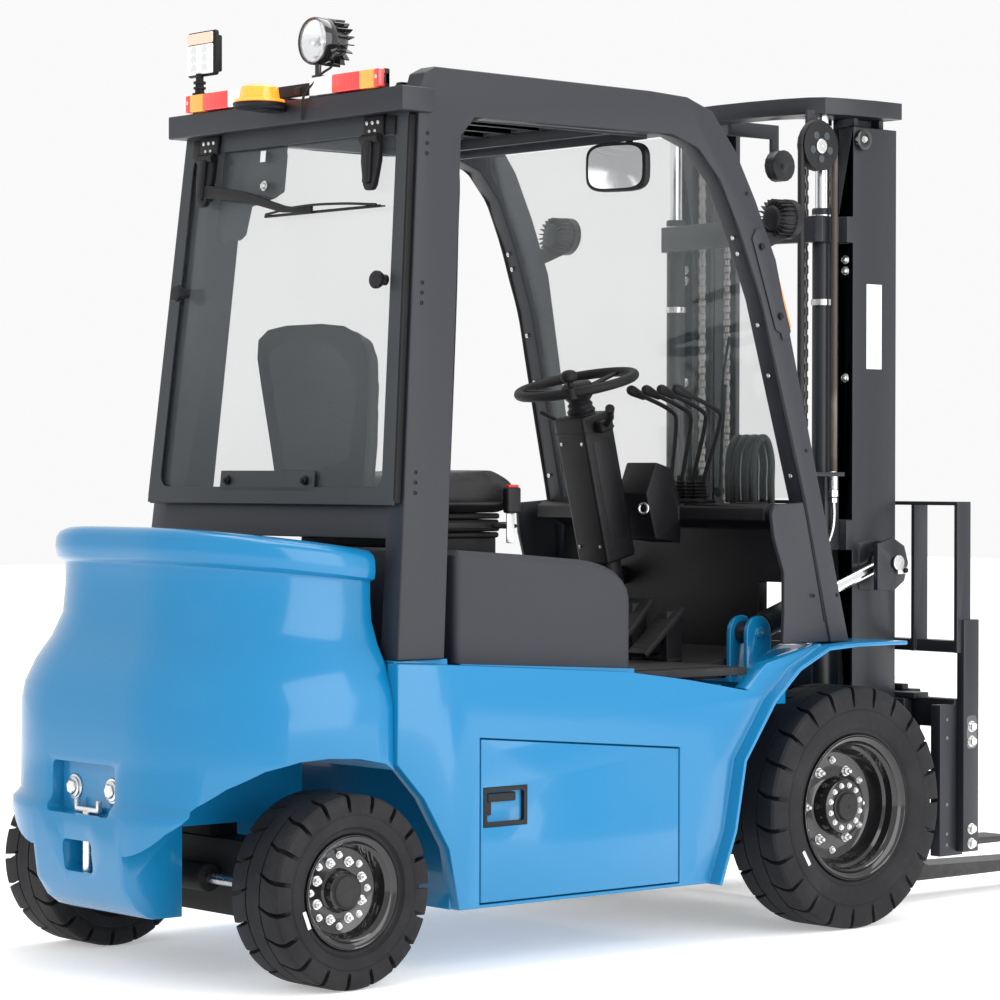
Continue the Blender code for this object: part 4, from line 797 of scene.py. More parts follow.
class FORKLIFT_OT_guard(bpy.types.Operator):
    """Screws, cover plates and sealing strips on the overhead guard"""

    bl_idname = "forklift.guard"
    bl_label = "Guard trim"

    def execute(self, context):
        spots = []
        for height in (1.138, 1.162, 1.186, 1.585, 1.609, 1.633, 1.940, 1.964, 1.988):
            spots.append((GUARD_HALF - 0.0008, -1.398 + (height - 1.1) * 0.04, height))
        for y, z in ((-0.060, 0.868), (0.028, 0.868), (-0.262, 1.800), (-0.300, 1.905), (-0.085, 1.245)):
            spots.append((GUARD_HALF - 0.0008, y, z))
        pillar = copies(screw(0.0052, 0.5), [turned_to(RIGHT, at(*spot)) for spot in spots])
        chassis_piece(mirror_too(leaned(pillar)), "guard_screws", "soft grip")
        inner = [(-0.010, 0.800), (-0.048, 0.960), (-0.087, 1.116), (-0.127, 1.245), (-0.168, 1.377),
                 (-0.207, 1.505),
                 (-0.247, 1.633), (-0.290, 1.730), (-0.325, 1.809), (-0.393, 1.933), (-0.470, 2.010),
                 (-0.560, 2.040),
                 (-0.800, 2.040), (-1.000, 2.040), (-1.200, 2.037), (-1.250, 1.998), (-1.262, 1.850),
                 (-1.270, 1.600),
                 (-1.288, 1.200), (-1.303, 0.900)]
        strip = hose([(GUARD_HALF - 0.008, y, z) for y, z in inner], 0.0048, 2)
        chassis_piece(mirror_too(leaned(strip)), "guard_edge_seal", "soft grip", "floor_rubber")
        heads = copies(screw(0.0062, 0.45),
                       [turned_to((0, -0.96, -0.28), at(GUARD_HALF - 0.030, y - 0.004, z - 0.001))
                        for y, z in ((-0.107, 1.180), (-0.187, 1.440), (-0.227, 1.570), (-0.300, 1.752),
                                     (-0.318, 1.792))])
        chassis_piece(mirror_too(leaned(heads)), "guard_inner_screws", "zinc", "bright_steel")
        cover = sheet_cut([(-0.285, 1.815), (-0.262, 1.818), (-0.236, 1.772), (-0.160, 1.555),
                           (-0.168, 1.536),
                           (-0.190, 1.530), (-0.196, 1.548), (-0.215, 1.556), (-0.300, 1.790)], "X",
                          GUARD_HALF - 0.001, GUARD_HALF + 0.0045, 0.0012)
        cover.data.transform(Matrix.Translation((0, 0.016, 0)))
        chassis_piece(mirror_too(leaned(cover)), "lamp_bracket_cover", "guard paint")
        tops = copies(bolt(0.0085, 0.7, 1.2), [turned_to(RIGHT, at(GUARD_HALF + 0.0045, y, z))
                                               for y, z in ((-0.252, 1.770), (-0.184, 1.592))])
        chassis_piece(mirror_too(leaned(tops)), "lamp_bracket_bolts", "soft grip")
        amber = sheet_cut([(-0.222, 1.700), (-0.205, 1.700), (-0.158, 1.566), (-0.168, 1.558)], "X", 0.452,
                          0.466, 0.002)
        amber.data.transform(Matrix.Translation((0, 0.030, 0)))
        chassis_piece(mirror_too(leaned(amber)), "side_marker", "orange plastic", "lens_amber")
        lip = joined(block(-0.412, 0.412, -0.604, -0.594, 2.030, 2.052, 0.001),
                     mirror_too(block(0.4100, 0.4140, -1.330, -0.600, 2.034, 2.052, 0.001)))
        chassis_piece(leaned(lip), "roof_rain_lip", "guard paint")
        roof = copies(bolt(0.0075, 0.6, 1.3), [turned_to(UP, at(x, y, 2.112))
                                              for x in (-0.3675, 0.3675) for y in (-1.3295, -0.5905)])
        chassis_piece(roof, "roof_bolts", "soft grip")
        return {"FINISHED"}


class FORKLIFT_OT_window(bpy.types.Operator):
    """The rear window's border, seal, hinges, knobs, tab and wiper"""

    bl_idname = "forklift.window"
    bl_label = "Rear window"

    def execute(self, context):
        rear, front = -1.4535, -1.4330
        border = block(-0.466, 0.466, rear - 0.0030, rear - 0.0002, 1.110, 2.037, 0)
        cut_by(border, rounded_box(-0.424, 0.424, rear - 1, rear + 1, 1.150, 1.992, 0.030))
        tab = block(-0.180, 0.180, rear - 0.0030, rear - 0.0002, 1.140, 1.190, 0)
        tab = joined(border, rounded(tab, 0.0012, 1))
        chassis_piece(leaned(tab, WINDOW_SLOPE), "window_border", "grey border", "floor_rubber")
        seal = hose([(-0.466, rear + 0.004, 1.125), (-0.466, rear + 0.004, 2.025),
                     (-0.458, rear + 0.004, 2.036),
                     (0.458, rear + 0.004, 2.036), (0.466, rear + 0.004, 2.025), (0.466, rear + 0.004, 1.125),
                     (0.458, rear + 0.004, 1.112), (-0.458, rear + 0.004, 1.112),
                     (-0.466, rear + 0.004, 1.125)],
                    0.0062, 2, smooth=False)
        chassis_piece(leaned(seal, WINDOW_SLOPE), "window_seal", "soft grip", "floor_rubber")
        for name, sign in SIDES.items():
            x = sign * 0.345
            plate = block(x - 0.038, x + 0.038, rear - 0.016, rear - 0.003, 1.986, 2.036, 0.004, 3)
            knuckle = spun([(-0.034, 0), (-0.034, 0.011), (-0.032, 0.013), (0.032, 0.013), (0.034, 0.011),
                            (0.034, 0)],
                           at(x, rear - 0.018, 1.978), RIGHT, 20)
            tongue = sheet_cut([(x - 0.034, 1.982), (x + 0.034, 1.982), (x + 0.033, 1.925),
                                (x + 0.020, 1.868),
                                (x + 0.012, 1.856), (x - 0.012, 1.856), (x - 0.020, 1.868),
                                (x - 0.033, 1.925)], "Y",
                               rear - 0.024, rear - 0.003, 0.006, 3)
            ridge = block(x - 0.012, x + 0.014, rear - 0.034, rear - 0.020, 1.872, 1.975, 0.006, 3)
            flap = block(x + sign * 0.040, x + sign * 0.078, rear - 0.010, rear - 0.003, 1.985, 2.030, 0.002)
            chassis_piece(leaned(joined(plate, knuckle, tongue, ridge, flap), WINDOW_SLOPE), "window_hinge_"
                          + name,
                          "black plastic", "battery_case")
            three = copies(screw(0.0052, 0.6), [turned_to(BACK, at(x + dx, rear - 0.0158, 2.018))
                                                for dx in (-0.022, 0, 0.022)])
            lower = copies(screw(0.0045, 0.6), [turned_to(BACK, at(x + dx, rear - 0.0158, 1.998))
                                                for dx in (-0.011, 0.011)])
            chassis_piece(leaned(joined(three, lower), WINDOW_SLOPE), "window_hinge_screws_" + name, "zinc",
                          "bright_steel")
            knob = spun([(-0.004, 0), (-0.004, 0.013), (0.004, 0.013), (0.008, 0.010), (0.012, 0.010),
                         (0.014, 0.0185),
                         (0.020, 0.0215), (0.028, 0.0215), (0.032, 0.0185), (0.033, 0)],
                        at(sign * 0.402, rear - 0.003, 1.640), BACK, 28)
            chassis_piece(leaned(knob, WINDOW_SLOPE), "window_knob_" + name, "black plastic", "battery_case")
        tabs = copies(bolt(0.0105, 0.8, 1.25, 0.006), [turned_to(BACK, at(x, rear - 0.003, 1.166))
                                                       for x in (-0.148, 0.148)])
        chassis_piece(leaned(tabs, WINDOW_SLOPE), "window_tab_bolts", "black plastic", "battery_case")
        motor = joined(
            sheet_cut([(-0.330, 2.030), (-0.040, 2.030), (-0.052, 2.005), (-0.060, 1.985), (-0.060, 1.880),
                       (-0.092, 1.866),
                       (-0.190, 1.850), (-0.205, 1.780), (-0.225, 1.768), (-0.320, 1.768), (-0.330, 1.780)],
                      "Y",
                      front + 0.004, front + 0.010, 0.003, 2),
            block(-0.300, -0.120, front + 0.006, front + 0.060, 1.880, 1.990, 0.012, 3))
        chassis_piece(leaned(motor, WINDOW_SLOPE), "wiper_motor_cover", "grey border", "battery_case")
        label = block(-0.128, -0.106, rear - 0.0045, rear - 0.0035, 1.956, 1.984, 0.0005)
        chassis_piece(leaned(label, WINDOW_SLOPE), "blank_window_label", "white plastic", "clear_glass")
        nut = copies(bolt(0.0085, 0.7, 1.5), [turned_to(BACK, at(-0.104, rear - 0.003, 1.896))])
        chassis_piece(leaned(nut, WINDOW_SLOPE), "wiper_motor_nut", "zinc", "bright_steel")
        pivot = spun([(0, 0), (0, 0.016), (0.010, 0.015), (0.020, 0.012), (0.024, 0.007), (0.025, 0)],
                     at(-0.330, rear - 0.003, 1.884), BACK, 24)
        arm = joined(
            sheet_cut([(-0.346, 1.905), (-0.320, 1.910), (-0.150, 1.882), (0.020, 1.838), (0.110, 1.826),
                       (0.110, 1.816),
                       (0.010, 1.822), (-0.150, 1.858), (-0.320, 1.876), (-0.346, 1.882)], "Y", rear - 0.028,
                      rear - 0.019, 0.002, 2),
            block(0.050, 0.130, rear - 0.027, rear - 0.018, 1.812, 1.832, 0.003),
            block(-0.070, 0.390, rear - 0.020, rear - 0.012, 1.8130, 1.8200, 0.002),
            block(-0.075, 0.395, rear - 0.012, rear - 0.0035, 1.8145, 1.8180, 0.001),
            hose([(-0.060, rear - 0.022, 1.821), (0.080, rear - 0.026, 1.832), (0.240, rear - 0.024, 1.830),
                  (0.380, rear - 0.021, 1.820)], 0.0032, 2), pivot)
        chassis_piece(leaned(arm, WINDOW_SLOPE), "rear_wiper", "black plastic", "battery_case")
        pad = block(-0.045, 0.100, front + 0.010, front + 0.018, 2.006, 2.026, 0.004, 3)
        chassis_piece(leaned(pad, WINDOW_SLOPE), "inner_pull_pad", "soft grip", "battery_case")
        return {"FINISHED"}


class FORKLIFT_OT_lamps(bpy.types.Operator):
    """Tail lamps, beacon, work lamps and the corner lamp"""

    bl_idname = "forklift.lamps"
    bl_label = "Lamps"

    def execute(self, context):
        low, high = 2.0953, 2.1420
        backs, halves = [block(-0.392, 0.392, -1.430, -1.4095, 2.104, 2.132, 0.002)], {}
        for sign in (1, -1):
            edges = [sign * x for x in (0.392, 0.374, 0.318, 0.212, 0.124)]
            backs.append(block(edges[0], edges[-1], -1.424, -1.409, low, high, 0.003))
            for finish, (a, b) in zip(("red lens", "amber lens", "red lens", "white lens"),
                                      zip(edges, edges[1:])):
                halves.setdefault(finish, []).append(block(a, b, -1.4455, -1.423, low + 0.0015, high
                                                           - 0.0015, 0.0035, 3))
        chassis_piece(joined(*backs), "tail_lamp_bodies", "black plastic", "lens_red", "tail_lamps")
        for finish, pieces in halves.items():
            chassis_piece(joined(*pieces), "tail_" + finish.replace(" ", "_"), finish,
                          {"amber lens": "lens_amber", "red lens": "lens_red",
                           "white lens": "clear_glass"}[finish])
        ends = copies(screw(0.0050, 0.5), [turned_to(BACK, at(x, -1.4450, 2.122)) for x in (-0.383, 0.383)])
        chassis_piece(ends, "tail_lamp_screws", "zinc", "bright_steel")
        base_at = at(0, -1.502, 2.072)
        base = spun([(0, 0), (0, 0.072), (0.003, 0.080), (0.008, 0.0835), (0.013, 0.0835), (0.0145, 0.070),
                     (0.0150, 0)],
                    base_at, steps=48)
        base.data.transform(Matrix.Translation(base_at) @ Matrix.Diagonal((0.78, 0.78, 1, 1))
                            @ Matrix.Translation(-base_at))
        bracket = block(-0.028, 0.028, -1.502, -1.441, 2.0665, 2.0745, 0.0015)
        chassis_piece(joined(base, bracket), "beacon_base", "black plastic", "battery_case")
        dome = [(0.0150, 0.0620), (0.0210, 0.0620), (0.0225, 0.0560)]
        rise, wide = 0.0225, 0.0500
        while rise < 0.050:
            dome += [(rise, wide), (rise + 0.0026, wide - 0.0006), (rise + 0.0030, wide - 0.0022),
                     (rise + 0.0042, wide - 0.0022)]
            rise += 0.0046
            wide -= 0.0006
        dome += [(rise, wide), (rise + 0.003, wide - 0.003), (0.0575, 0.034), (0.0580, 0)]
        chassis_piece(spun([(0.0150, 0)] + dome, base_at, steps=48), "beacon_dome", "lit amber",
                      "lens_amber", "beacon")
        head_at = at(0.134, -1.400, 2.230)
        shell = [(0.020, 0), (0.020, 0.040), (0.040, 0.052), (0.044, 0.056), (0.040, 0.058), (0.010, 0.0575),
                 (0.006, 0.055), (-0.004, 0.052), (-0.020, 0.046), (-0.036, 0.040), (-0.041, 0.034),
                 (-0.042, 0)]
        head = spun(shell, head_at, BACK, 48)
        fins = copies(block(-0.0016, 0.0016, 0.030, 0.058, -0.042, 0.004, 0.0008),
                      [turned_to(BACK, head_at) @ Matrix.Rotation(TAU * i / 18, 4, "Z")
                       @ Matrix.Translation((0, -AXLE_Y, 0)) for i in range(18)])
        foot = spun([(0, 0), (0, 0.016), (0.004, 0.016), (0.006, 0.008), (0.052, 0.008), (0.052, 0)],
                    at(0.134, -1.425, 2.1423), steps=24)
        yoke = block(0.116, 0.152, -1.432, -1.404, 2.180, 2.194, 0.003)
        chassis_piece(joined(head, fins, foot, yoke), "rear_work_lamp_body", "rim paint", "gloss_black_rim",
                      "rear_work_lamp")
        bowl = joined(spun([(0.018, 0.0), (0.022, 0.022), (0.036, 0.049), (0.0385, 0.052), (0.0215, 0.052),
                            (0.017, 0)],
                           head_at, BACK, 40),
                      *[spun([(0.020, 0.0), (0.026, 0.010), (0.031, 0.008), (0.033, 0)],
                             head_at + Vector((x, 0, 0)), BACK, 20) for x in (-0.020, 0.020)])
        chassis_piece(bowl, "rear_work_lamp_bowl", "lamp bowl", "mirror_glass", angle=60)
        face = spun([(0.0395, 0), (0.0395, 0.052), (0.0425, 0.051), (0.0450, 0.040), (0.0465, 0.020),
                     (0.0470, 0)],
                    head_at, BACK, 40)
        chassis_piece(face, "rear_work_lamp_glass", "lamp glass", "clear_glass", angle=60)
        clips = copies(bolt(0.0070, 0.8, 1.3), [turned_to((side, 0, 0),
                                                          at(0.134 + side * 0.018, -1.418, 2.187))
                                                for side in (-1, 1)])
        chassis_piece(clips, "rear_work_lamp_bolts", "zinc", "bright_steel")
        cable = joined(hose([(0.150, -1.392, 2.184), (0.166, -1.410, 2.166), (0.160, -1.432, 2.150),
                             (0.142, -1.4435, 2.128), (0.108, -1.4475, 2.100), (0.096, -1.4470, 2.060),
                             (0.092, -1.4440, 2.042)], 0.0030, 2),
                       block(0.068, 0.090, -1.4480, -1.4400, 2.104, 2.122, 0.003))
        chassis_piece(cable, "rear_work_lamp_cable", "hose rubber", "hose_rubber")
        low, high = 2.190, 2.305
        case = joined(block(-0.425, -0.305, -1.4165, -1.400, low, high, 0.007, 3),
                      block(-0.417, -0.313, -1.403, -1.386, low + 0.010, high - 0.012, 0.004),
                      *[block(-0.410 + i * 0.0145, -0.4045 + i * 0.0145, -1.3945, -1.3855, low + 0.014, high
                              - 0.016, 0.001)
                        for i in range(7)])
        neck = spun([(0, 0), (0, 0.019), (0.004, 0.019), (0.006, 0.012), (0.014, 0.012), (0.015, 0.016),
                     (0.020, 0.016),
                     (0.021, 0.011), (0.027, 0.011), (0.028, 0.016), (0.034, 0.016), (0.036, 0.010),
                     (0.054, 0.010),
                     (0.054, 0)], at(-0.365, -1.420, 2.1423), steps=24)
        chassis_piece(joined(case, neck), "corner_lamp_body", "black plastic", "battery_case", "corner_lamp")
        amber = block(-0.419, -0.311, -1.4225, -1.4150, 2.272, 2.300, 0.004, 3)
        chassis_piece(amber, "corner_lamp_top", "pale amber", "lens_amber")
        white = block(-0.419, -0.311, -1.4225, -1.4150, 2.195, 2.2705, 0.004, 3)
        chassis_piece(white, "corner_lamp_lens", "white lens", "clear_glass")
        dots = copies(spun([(0, 0), (0, 0.0115), (0.0008, 0.0120), (0.0018, 0.0060), (0.0026, 0)], HOME,
                           steps=20),
                      [turned_to(BACK, at(x, -1.4222, z)) for x in (-0.388, -0.342)
                       for z in (2.210, 2.233, 2.256)])
        chassis_piece(dots, "corner_lamp_leds", "lamp bowl", "mirror_glass", angle=60)
        for name, sign in SIDES.items():
            centre = at(sign * 0.440, -0.140, 1.850)
            body = spun([(0.030, 0), (0.030, 0.046), (0.035, 0.050), (0.034, 0.052), (0.012, 0.052),
                         (0.009, 0.047),
                         (-0.010, 0.046), (-0.036, 0.032), (-0.040, 0.026), (-0.040, 0)], centre, AHEAD, 40)
            ribs = copies(block(-0.0016, 0.0016, 0.020, 0.0508, -0.036, 0.012, 0.0008),
                          [turned_to(AHEAD, centre) @ Matrix.Rotation(TAU * i / 22, 4, "Z")
                           @ Matrix.Translation((0, -AXLE_Y, 0)) for i in range(22)])
            arm = sheet_cut([(-0.2072, 1.771), (-0.190, 1.773), (-0.131, 1.797), (-0.131, 1.811),
                             (-0.2278, 1.811)], "X",
                            min(sign * 0.431, sign * 0.451), max(sign * 0.431, sign * 0.451), 0.0015)
            chassis_piece(leaned(joined(body, ribs, arm)), "front_work_lamp_body_" + name, "black plastic",
                          "battery_case", "front_work_lamp_" + name)
            bulb = spun([(0.0300, 0), (0.0300, 0.045), (0.0340, 0.044), (0.0345, 0)], centre, AHEAD, 32)
            chassis_piece(leaned(bulb), "front_work_lamp_glass_" + name, "lamp glass", "clear_glass",
                          angle=60)
        return {"FINISHED"}


class FORKLIFT_OT_mirror(bpy.types.Operator):
    """The driver's convex mirror in its black shell"""

    bl_idname = "forklift.mirror"
    bl_label = "Mirror"

    def execute(self, context):
        outline = []
        for i in range(32):
            angle = TAU * i / 32
            across, rise = cos(angle), sin(angle)
            across = (abs(across) ** 0.5) * (1 if across > 0 else -1)
            rise = (abs(rise) ** 0.5) * (1 if rise > 0 else -1)
            outline.append((0.295 + 0.114 * across, 1.966 + 0.063 * rise - 0.030 * (across * 0.12)))
        shell = sheet_cut(outline, "Y", -0.5955, -0.5760, 0.005, 4)
        arm = joined(block(0.290, 0.310, -0.580, -0.546, 2.0005, 2.0095, 0.001),
                     block(0.290, 0.310, -0.554, -0.546, 2.0005, 2.0525, 0.001))
        chassis_piece(joined(shell, arm), "mirror_shell", "black plastic", "battery_case", "mirror")
        face = [(0.295 + (x - 0.295) * 0.93, 1.966 + (z - 1.966) * 0.90) for x, z in outline]
        rings = [[at(0.295 + (x - 0.295) * share, -0.5952 - 0.0042 * (1 - share * share),
                     1.966 + (z - 1.966) * share) for x, z in face] for share in (1.0, 0.8, 0.6, 0.4, 0.2,
                                                                                  0.05)]
        count = len(face)
        mesh = bpy.data.meshes.new("glass")
        mesh.from_pydata([point for ring in rings for point in ring], [],
                         [(k * count + i, k * count + (i + 1) % count, (k + 1) * count + (i + 1) % count,
                           (k + 1) * count + i) for k in range(5) for i in range(count)]
                         + [tuple(range(5 * count, 6 * count))] + [tuple(reversed(range(count)))])
        glass = edit(linked("glass", mesh), (bpy.ops.mesh.normals_make_consistent, {}))
        chassis_piece(glass, "mirror_face", "mirror silver", "mirror_glass", angle=60)
        return {"FINISHED"}


# ---- cab: hood, seat, steering, levers, dash and floor ---------------------------------------
def joined_solid(*pieces):
    """Pieces fused into one closed surface."""
    first = pieces[0]
    for other in pieces[1:]:
        modify(first, "BOOLEAN", object=other, operation="UNION", solver="MANIFOLD")
        bpy.data.objects.remove(other, do_unlink=True)
    return first


PUFF_PRESSURE, PUFF_FRAMES, VOXEL = 4.0, 20, 0.006


def puffed(piece, cap):
    """Remeshes a cushion, blows it up with cloth pressure and holds each point within its cap."""
    modify(piece, "REMESH", mode="VOXEL", voxel_size=VOXEL)
    rest = [vertex.co.copy() for vertex in piece.data.vertices]
    cloth = piece.modifiers.new("puff", "CLOTH")
    cloth.settings.use_pressure = True
    cloth.settings.uniform_pressure_force = PUFF_PRESSURE
    cloth.settings.effector_weights.gravity = 0.0
    cloth.point_cache.frame_end = PUFF_FRAMES
    for number in range(1, PUFF_FRAMES + 1):
        bpy.context.scene.frame_set(number)
    only(piece)
    bpy.ops.object.modifier_apply(modifier=cloth.name)
    bpy.context.scene.frame_set(1)
    for vertex, start in zip(piece.data.vertices, rest):
        move = vertex.co - start
        if move.length > cap:
            vertex.co = start + move * (cap / move.length)
    modify(piece, "SMOOTH", factor=0.5, iterations=6)
    return modify(piece, "SUBSURF", levels=1, render_levels=1)


class FORKLIFT_OT_hood(bpy.types.Operator):
    """The moulded hood over the battery"""

    bl_idname = "forklift.hood"
    bl_label = "Hood"

    def execute(self, context):
        radius = context.scene.forklift_cab.hood_edge
        line = [(-1.294, 0.7335), (-1.294, 0.985), (-1.280, 1.003), (-0.880, 0.973), (-0.800, 0.957),
                (-0.735, 0.915),
                (-0.724, 0.880), (-0.724, 0.7025)]
        smooth_line = [(-1.294, 0.7335), (-1.294, 0.990), (-1.282, 1.002), (-1.080, 0.989), (-0.880, 0.973)]
        smooth_line += [(-0.842, 0.967), (-0.806, 0.957), (-0.774, 0.943), (-0.748, 0.923), (-0.731, 0.901),
                        (-0.7243, 0.876), (-0.724, 0.7025)]
        outer = sheet_cut(smooth_line, "X", -0.500, 0.500, 0)
        bm = bmesh.new()
        bm.from_mesh(outer.data)
        rim = [edge for edge in bm.edges if len({round(v.co.x, 4) for v in edge.verts}) == 1
               and max(v.co.z for v in edge.verts) > 0.75]
        bmesh.ops.bevel(bm, geom=rim, offset=radius, segments=5, profile=0.5, affect="EDGES",
                        clamp_overlap=True)
        bm.to_mesh(outer.data)
        bm.free()
        box = sheet_cut([(-1.395, 0.750), (-1.395, 0.985), (-1.380, 1.003), (-1.270, 1.003),
                         (-1.270, 0.750)], "X",
                        -0.400, 0.400, 0.010, 3)
        inside = [(y + (0.018 if y < -1.0 else -0.018), z - (0.020 if z > 0.8 else 0.1)) for y, z in line]
        hood = joined_solid(outer, box)
        cut_by(hood, sheet_cut(inside, "X", -0.482, 0.482, 0))
        finished(hood, "hood_shell", "hood plastic", "hood_and_seat", slot_of("hood"), "hood", angle=30)
        lip = joined(block(0.488, 0.4995, -1.285, -0.740, 0.7080, 0.7160, 0.001),
                     block(-0.4995, -0.488, -1.285, -0.740, 0.7080, 0.7160, 0.001))
        finished(lip, "hood_rubber_lip", "soft grip", "hood_and_seat", "floor_rubber")
        return {"FINISHED"}


class FORKLIFT_OT_seat(bpy.types.Operator):
    """The driver's seat: stuffed vinyl on a ribbed suspension, with its back shell, rails and belt"""

    bl_idname = "forklift.seat"
    bl_label = "Seat"

    def execute(self, context):
        cushion = sheet_cut([(-1.258, 1.098), (-1.260, 1.140), (-1.225, 1.166), (-1.060, 1.174),
                             (-0.905, 1.180),
                             (-0.862, 1.166), (-0.842, 1.135), (-0.848, 1.098)], "X", -0.226, 0.226, 0.020, 4)
        puffed(cushion, 0.013)
        low = at(0, 0, 1.0855).z
        for vertex in cushion.data.vertices:
            vertex.co.z = max(vertex.co.z, low)
        finished(cushion, "seat_cushion_vinyl", "seat vinyl", "hood_and_seat", "seat_vinyl", "seat_cushion",
                 angle=60)
        outline = [(-0.165, 1.130), (-0.190, 1.250), (-0.212, 1.400), (-0.216, 1.470), (-0.200, 1.515),
                   (-0.150, 1.538),
                   (-0.070, 1.546), (0.070, 1.546), (0.150, 1.538), (0.200, 1.515), (0.216, 1.470),
                   (0.212, 1.400),
                   (0.190, 1.250), (0.165, 1.130)]
        back = sheet_cut(outline, "Y", -1.336, -1.290, 0.014, 4)
        shell = sheet_cut([(x * 1.025, z + (0.004 if z > 1.2 else -0.006)) for x, z in outline], "Y",
                          -1.3460, -1.3395,
                          0.003, 2)
        for piece in (back, shell):
            for vertex in piece.data.vertices:
                rise = (vertex.co.z - 1.12) / 0.42
                vertex.co.y += 0.020 - 0.042 * rise + 0.03 * rise * (1 - rise)
                vertex.co.y += 0.25 * vertex.co.x ** 2
        puffed(back, 0.009)
        finished(back, "seat_back_vinyl", "seat vinyl", "hood_and_seat", "seat_vinyl", "seat_back", angle=60)
        finished(shell, "seat_back_shell", "black plastic", "hood_and_seat", "battery_case")
        piping = hose([(-0.228, -1.240, 1.108), (-0.234, -1.060, 1.108), (-0.230, -0.880, 1.108),
                       (-0.200, -0.838, 1.108),
                       (0.000, -0.833, 1.108), (0.200, -0.838, 1.108), (0.230, -0.880, 1.108),
                       (0.234, -1.060, 1.108),
                       (0.228, -1.240, 1.108)], 0.0042, 2)
        finished(piping, "seat_piping", "seat vinyl", "hood_and_seat", "seat_vinyl")
        layers = [block(-0.185 - 0.003 * (i % 2), 0.185 + 0.003 * (i % 2), -1.245, -0.886, 1.0225
                        + 0.0158 * i,
                        1.0370 + 0.0158 * i, 0.0068, 4) for i in range(4)]
        layers.append(sheet_cut([(-1.240, 1.0025), (-1.240, 1.024), (-0.890, 1.024), (-0.890, 0.9755)], "X",
                                -0.176,
                                0.176, 0.004, 3))
        finished(joined(*layers), "seat_suspension", "soft grip", "hood_and_seat", slot_of("seat_base"),
                 "seat_base")
        rails = mirror_too(joined(block(0.188, 0.2000, -1.220, -0.860, 1.046, 1.062, 0.002),
                                  hose([(0.195, -0.862, 1.054), (0.195, -0.842, 1.052),
                                        (0.180, -0.836, 1.050),
                                        (0.050, -0.836, 1.050)], 0.0045, 2)))
        finished(rails, "seat_slide_bar", "axle paint", "hood_and_seat", "bright_steel")
        stem = joined(block(0.2480, 0.2530, -0.9200, -0.8950, 1.010, 1.090, 0.002),
                      mirror_too(block(0.2000, 0.2490, -0.918, -0.898, 1.046, 1.058, 0.001)))
        finished(stem, "belt_stem", "zinc", "hood_and_seat", "bright_steel")
        buckle = block(0.2450, 0.2680, -0.930, -0.885, 1.085, 1.150, 0.006, 3)
        finished(buckle, "belt_buckle", "black plastic", "hood_and_seat", "battery_case")
        button = block(0.2490, 0.2640, -0.924, -0.891, 1.149, 1.156, 0.002)
        finished(button, "belt_button", "red plastic", "hood_and_seat", "lens_red")
        return {"FINISHED"}


def steering_frame():
    """The steering wheel's own frame, with +Z up along the column."""
    low, high = at(0, -0.285, 0.702), at(0, -0.460, 1.420)
    return Matrix.Translation(high) @ (high - low).normalized().to_track_quat("Z", "Y").to_matrix().to_4x4()


def local(piece, frame_matrix):
    """Moves a piece made with at() about the front axle into another frame."""
    piece.data.transform(frame_matrix @ Matrix.Translation((0, -AXLE_Y, 0)))
    return piece


